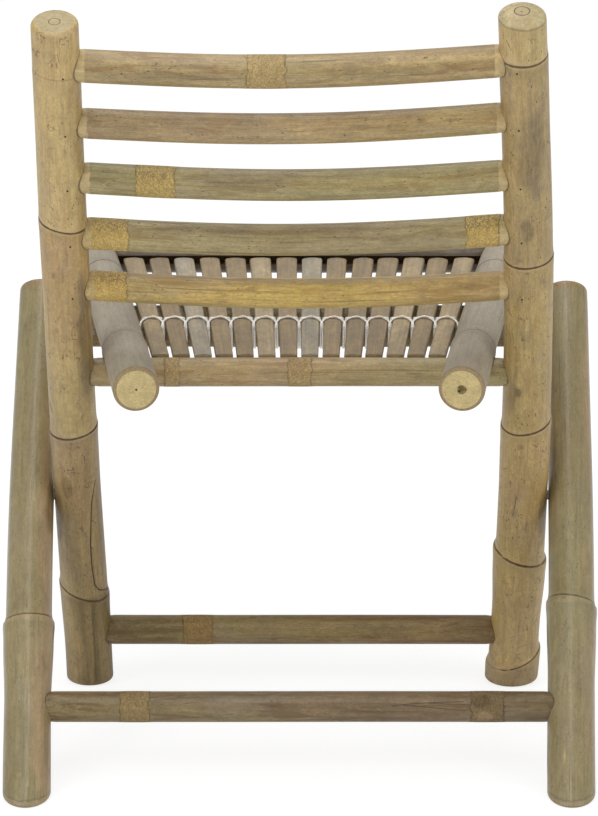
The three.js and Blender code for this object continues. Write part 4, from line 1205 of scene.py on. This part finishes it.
REAR_RAIL_REACH = REAR_RAIL_RADIUS + NODE_SWELL + FIT_GAP
rear_above = slat_above(REAR_RAIL_BEHIND) - SEAT_SLAT_THICKNESS / 2 - REAR_RAIL_REACH
rear_half = rail_half(REAR_RAIL_BEHIND) + RAIL_RADIUS_REAR + REAR_RAIL_OUT
rear_ends = [on_seat(REAR_RAIL_BEHIND, rear_above, sign * rear_half) for sign in SIDES.values()]
rear_rail = Culm(
    "seat_rear_rail", Line(*rear_ends), (REAR_RAIL_RADIUS, REAR_RAIL_RADIUS),
    rings=[(share * 2 * rear_half, 0.6, 0.8, 0, 0) for share in (0.37, 0.73)],
    start=FLAT, end=FLAT, tones=("umber", "brown", "umber"), seed=41, sides=36, undulation=0.15,
)
culm_piece(rear_rail, "seat_frame", "rung", list(rails.values()))

# Seat slats: strips with a crowned top and rounded front corners, each a little different
SLAT_START = -FRONT_RAIL_AHEAD + FRONT_RAIL_RADIUS - SEAT_SLAT_IN_GROOVE
SLAT_END = BARS_APART - SUPPORT_BAR[1] - SEAT_SLAT_SHORT_OF_BAR
SEAT_TONES = ["taupe", "dusk", "grey", "taupe", "mauve", "dusk", "taupe", "grey"]
SLAT_EDGE = 0.9
SLAT_CORNER_MARKS = (0.0, 0.35, 0.9, 1.7, 2.7, 3.8, 5.2)


def pitch_at(behind):
    """The distance from slat to slat, which shrinks towards the rear."""
    return lerp(*SEAT_SLAT_PITCH, (behind + FRONT_RAIL_AHEAD) / (SLAT_END + FRONT_RAIL_AHEAD))


def width_at(behind):
    """A slat's width, which shrinks too."""
    return lerp(*SEAT_SLAT_WIDTH, (behind - SLAT_START) / (SLAT_END - SLAT_START))


def slat_section(half, thickness, crown):
    """Points round a strip's section: flat below, eased edges, crowned top."""
    low, high = -thickness / 2, thickness / 2
    side = high - crown
    right = [(half - 0.25, low + 0.3), (half, low + SLAT_EDGE), (half, 0.0), (half, side - SLAT_EDGE),
             (half - 0.3, side - 0.3)]
    flat = half - SLAT_EDGE
    below = [(x, low) for x in np.linspace(-flat, flat, 5)]
    above = [(x, high - crown * (x / half) ** 2) for x in np.linspace(flat, -flat, 11)]
    return below + right + above + [(-x, z) for x, z in reversed(right)]


def short_of(radius, distance):
    """How far a round corner of this radius stays back at a distance from the end."""
    return radius - math.sqrt(radius * radius - max(0.0, radius - distance) ** 2)


def seat_slat(i):
    """One strip, from the front rail's groove to just short of the support bar."""
    rng = np.random.default_rng(500 + i)
    slot = i - (SEAT_SLATS - 1) / 2
    front, rear = (
        on_seat(place_at, slat_above(place_at), slot * pitch_at(place_at) + rng.uniform(-stray, stray))
        for place_at, stray in ((SLAT_START, 0.7), (SLAT_END, 0.35))
    )
    along = unit(rear - front)
    across = unit(np.cross(along, SEAT_UP))
    up = np.cross(across, along)
    length = float(np.linalg.norm(rear - front))
    wider = rng.uniform(-1.0, 1.1)
    corner = rng.uniform(3.2, 5.2, 2)
    crown = rng.uniform(0.7, 1.3)
    skew = rng.uniform(-1.0, 1.0)
    phase = rng.uniform(0, 6.3, 3)
    marks = [*SLAT_CORNER_MARKS, *np.linspace(7, length - 1.2, 46), length - 0.5, length]
    points = []
    for t in marks:
        share = t / length
        half = (lerp(*SEAT_SLAT_WIDTH, share) + wider * (1 - share) + 0.25 * math.sin(t / 31 + phase[0])) / 2
        shrink = [short_of(c, t) for c in corner]
        back = short_of(0.5, length - t)
        drift = 0.25 * math.sin(t / 47 + phase[1])
        lift = 0.15 * math.sin(t / 60 + phase[2])
        for x, z in slat_section(half, SEAT_SLAT_THICKNESS - 0.3, crown):
            x = x * (half - shrink[0 if x < 0 else 1] - back) / half
            z = z * (1 - 0.12 * (back > 0.2)) * (1 - 0.1 * max(0.0, 1 - t / 0.8))
            ahead = skew * (x / half) * max(0.0, 1 - t / 40)
            points.append(front + along * (t + ahead * 0.8) + across * (x + drift) + up * (z + lift))
    count = len(points) // len(marks)
    faces = bands(len(marks), count)
    for first, order in ((0, 1), (len(marks) * count - count, -1)):
        hub = len(points)
        points.append(np.mean(points[first:first + count], 0))
        for j in range(count):
            rim = (first + (j + 1) % count, first + j)
            faces.append((hub, *rim[::order]))
    points, faces = closed_outward(points, faces)
    mesh = mesh_from(f"slat_{i + 1:02d}", points, faces)
    mesh.materials.append(LOOKS["slat"])
    local = points - front
    along_t, across_t, up_t = local @ along, local @ across, local @ up
    tone = linear(SEAT_TONES[int(rng.integers(len(SEAT_TONES)))]) * rng.uniform(0.9, 1.08)
    half_here = lerp(*SEAT_SLAT_WIDTH, np.clip(along_t / length, 0, 1)) / 2
    beside = smooth(np.abs(across_t), half_here - 1.6, half_here + 0.2)
    scar_at = rng.uniform(60, 230) if rng.uniform() < 0.45 else -500
    store_fields(mesh, {
        "cane": np.stack([across_t, up_t, along_t], 1) * METRES + np.array([i * 0.31, 0, 50 + i * 0.9]),
        "tone": np.tile([*tone, 1.0], (len(points), 1)),
        # edge marks where painted shade falls: the strip's sides and underside.
        "edge": np.maximum(beside, smooth(-up_t, 0.5, 2.5)),
        "ring": np.abs(along_t - scar_at - 0.12 * across_t),
    })
    place(f"seat_strip_{i + 1:02d}", mesh, "seat_frame", [f"seat_slat_{i + 1:02d}"], 60)


for i in range(SEAT_SLATS):
    seat_slat(i)

# Lashing: two strands wind round the rear rail and cross over every slat
LAY_TURNS = 2.4
STRAND_OFFSET = 1.08


def lashing_path(strand):
    """One strand's points. The two mirror each other, and one rides over the other at each cross."""
    turn = -1 if strand else 1
    clear = REAR_RAIL_RADIUS + 0.5 + CORD_RADIUS
    lift = slat_above(REAR_RAIL_BEHIND) + SEAT_SLAT_THICKNESS / 2 + CORD_RADIUS - 0.1 - rear_above
    pitch = pitch_at(REAR_RAIL_BEHIND)
    limit = (SEAT_SLATS - 1) / 2 * pitch + width_at(REAR_RAIL_BEHIND) / 2 + CORD_RADIUS * 1.6
    rng = np.random.default_rng(70 + strand)
    points = []

    def put(offset, above, x):
        points.append(on_seat(REAR_RAIL_BEHIND + offset, rear_above + above, x))

    for gap in range(SEAT_SLATS + 1):
        gaps = np.array([gap, gap + 1]) - SEAT_SLATS / 2
        here, beyond = np.clip(gaps * pitch, -limit, limit) + turn * STRAND_OFFSET
        slack = rng.uniform(0.0, 0.5)
        for a in np.linspace(0, math.pi, 15):
            put(turn * math.cos(a) * clear, -math.sin(a) * clear, here)
        if gap == SEAT_SLATS:
            break
        for share in (0.3, 0.6, 0.85):
            put(-turn * clear, lift * share, here)
        jitter = rng.uniform(0.3, 1.5, 2) * -turn
        for share in 0.5 - 0.48 * np.cos(np.linspace(0, math.pi, 21)):
            reach = 1 - (1 - share) ** 8 if strand else share ** 8
            bulge = math.sin(math.pi * share)
            crown = 0.9 * (1 - (2 * share - 1) ** 2) - 0.5
            hop = 2 * CORD_RADIUS * math.exp(-(((share - 0.5) / 0.16) ** 2)) if strand else 0.0
            put(lerp(-turn * clear, turn * clear, reach) + lerp(*jitter, share) * bulge,
                lift + crown * 0.4 + hop + slack * bulge * 0.3, lerp(here, beyond, share))
        for share in (0.85, 0.6, 0.3):
            put(turn * clear, lift * share, beyond)
    return np.array(points)


def travelled(points):
    """How far along a path each of its points lies."""
    return np.concatenate([[0], np.cumsum(np.linalg.norm(np.diff(points, axis=0), axis=1))])


def resampled(points, step):
    """A path eased twice, with points this far apart."""
    for _ in range(2):
        points[1:-1] = 0.5 * points[1:-1] + 0.25 * (points[:-2] + points[2:])
    marks = np.arange(0, travelled(points)[-1], step)
    return np.stack([np.interp(marks, travelled(points), points[:, c]) for c in range(3)], 1)


def tube(points, radius, sides=10):
    """A laid cord's points and faces, and each point's place and phase on the cord."""
    tangents = np.gradient(points, axis=0)
    tangents /= np.linalg.norm(tangents, axis=1)[:, None]
    normal = ACROSS.copy()
    grid, cane, lay = [], [], []
    for point, tangent, run in zip(points, tangents, travelled(points)):
        normal = unit(normal - tangent * float(normal @ tangent))
        other = np.cross(tangent, normal)
        for k in range(sides):
            a = 2 * math.pi * k / sides
            ripple = 1 + 0.07 * math.sin(2 * a + run * LAY_TURNS)
            grid.append(point + (normal * math.cos(a) + other * math.sin(a)) * radius * ripple)
            cane.append((radius * math.cos(a), radius * math.sin(a), run))
            lay.append(2 * math.sin(a) + run * LAY_TURNS)
    first, last = tuple(range(sides - 1, -1, -1)), tuple(range(len(grid) - sides, len(grid)))
    return grid, [*bands(len(points), sides), first, last], np.array(cane) * METRES, lay


cord_points, cord_faces, cord_cane, cord_lay = [], [], [], []
for strand in (0, 1):
    points, faces, cane, lay = tube(resampled(lashing_path(strand), 1.1), CORD_RADIUS)
    cord_faces += [tuple(index + len(cord_points) for index in face) for face in faces]
    cord_points += points
    cord_cane.append(cane + np.array([strand * 0.01, 0, 0]))
    cord_lay += lay
cord_mesh = mesh_from("lashing", cord_points, cord_faces)
cord_mesh.materials.append(LOOKS["cord"])
store_fields(cord_mesh, {
    "cane": np.vstack(cord_cane),
    "lay": np.array(cord_lay),
    "tone": np.tile([*linear("cotton"), 1.0], (len(cord_points), 1)),
})
place("lashing_strands", cord_mesh, "seat_frame", ["seat_lashing_cord"], 80)

# Nails, and pins in their CAD form. The profile: distance from the axis, height above the skin
NAIL_PROFILE = [
    (0.4, 0.3), (0.8, 0.24), (1.05, 0.12), (1.15, 0.0), (1.1, -0.3), (0.6, -0.4), (0.6, -26), (0.1, -28),
]
NAIL_SIDES = 16


def nail(name, culm, near_point, inward, body):
    """A wire nail driven in until its small domed head stands just proud of the cane's skin."""
    along, angle, _ = culm.line.polar(near_point[None])
    out = np.cos(angle[0]) * culm.line.face + np.sin(angle[0]) * culm.line.other
    seat = culm.line.at(along)[0] + out * float(culm.surface(along, angle)[0])
    side = unit(np.cross(inward, ACROSS))
    other = np.cross(inward, side)
    turns = np.linspace(0, 2 * math.pi, NAIL_SIDES, endpoint=False)
    circle = np.outer(np.cos(turns), side) + np.outer(np.sin(turns), other)
    points = np.vstack([seat - inward * height + circle * radius for radius, height in NAIL_PROFILE])
    last = tuple(range(len(points) - 1, len(points) - 1 - NAIL_SIDES, -1))
    faces = [tuple(range(NAIL_SIDES)), *bands(len(NAIL_PROFILE), NAIL_SIDES), last]
    mesh = mesh_from(name, *closed_outward(points, faces))
    mesh.materials.append(LOOKS["nail"])
    place(f"wire_{name}", mesh, body, [name], 45)


for side, sign in SIDES.items():
    for i, height in enumerate(SLAT_HEIGHTS[side]):
        axis_point = with_x(POST_UP * height, post_x(side, height) - sign * NAIL_INWARD)
        rise = math.sqrt(post_radius(side, height) ** 2 - NAIL_INWARD ** 2)
        nail(f"back_nail_{i + 1}_{side}", posts[side], axis_point + BACKWARD * rise, -BACKWARD, "back_frame")
    head = on_seat(REAR_RAIL_BEHIND, RAIL_RADIUS_REAR, sign * rail_half(REAR_RAIL_BEHIND))
    nail(f"seat_nail_{side}", rails[side], head, -SEAT_UP, "seat_frame")
    pin = frame["nodes"][f"pivot_pin_{side}"]
    pin.data.materials.clear()
    pin.data.materials.append(LOOKS["pin"])


# Floor, lamps and camera, in metres
FLOOR_HALF = 14.0
FLOOR_GLOW = 1.12
FLOOR_GLOW_SHARE = 0.72


def stage_floor():
    """A pale floor that the camera sees as nearly white, with the chair's shadow on it."""
    look = Look("paper_floor", on_object=True)
    colour = look.plain((250, 250, 250)).times(look.noise((3, 3, 3), 3).about(0.01))
    matt = look.node("ShaderNodeBsdfDiffuse", {"Color": colour})
    bright = look.node("ShaderNodeEmission", {"Color": (1, 1, 1, 1), "Strength": FLOOR_GLOW})
    seen = look.node("ShaderNodeLightPath", output="Is Camera Ray")
    look.show(look.node("ShaderNodeMixShader", {0: seen * FLOOR_GLOW_SHARE, 1: matt, 2: bright}))
    mesh = bpy.data.meshes.new("floor")
    corners = [(-1, -1), (1, -1), (1, 1), (-1, 1)]
    mesh.from_pydata([(x * FLOOR_HALF, y * FLOOR_HALF, 0) for x, y in corners], [], [(0, 1, 2, 3)])
    mesh.materials.append(look.material)
    shown("floor", mesh)


def area_lamp(name, place_at, target, size, power):
    """A soft rectangular lamp that looks at its target."""
    data = bpy.data.lights.new(name, "AREA")
    data.shape = "RECTANGLE"
    data.size, data.size_y = size
    data.energy = power
    lamp = shown(name, data)
    lamp.location = place_at
    lamp.rotation_euler = (Vector(target) - Vector(place_at)).to_track_quat("-Z", "Y").to_euler()


stage_floor()
world = bpy.data.worlds.new("white_room")
world.use_nodes = True
background = world.node_tree.nodes["Background"]
background.inputs["Color"].default_value = (1, 1, 1, 1)
background.inputs["Strength"].default_value = 0.5
bpy.context.scene.world = world
area_lamp("key", (3.4, 3.0, 3.4), (0, 0, 0.4), (2.4, 2.4), 68)
area_lamp("fill", (-3.6, 2.6, 2.6), (0, 0, 0.4), (2.4, 2.4), 46)
area_lamp("top", (0.3, -1.2, 4.4), (0, 0, 0.3), (3.0, 3.0), 48)
area_lamp("strip", (0.2, 1.3, 3.9), (0, 0, 0.3), (0.2, 2.6), 24)

# The camera stands straight behind the chair, 18.5 degrees above the level. Its place is in millimetres
CAMERA_PLACE = vec(0, 5141.3, 2022.1)
CAMERA_TURN = (math.radians(71.5), 0, math.radians(180))
camera_data = bpy.data.cameras.new("photo_camera")
camera_data.lens = 229.41
camera_data.sensor_width = 36
camera_data.clip_end = 100
camera = shown("photo_camera", camera_data)
camera.location = to_row(CAMERA_PLACE)
camera.rotation_euler = CAMERA_TURN
bpy.context.scene.camera = camera
bpy.context.scene.view_settings.view_transform = "Standard"
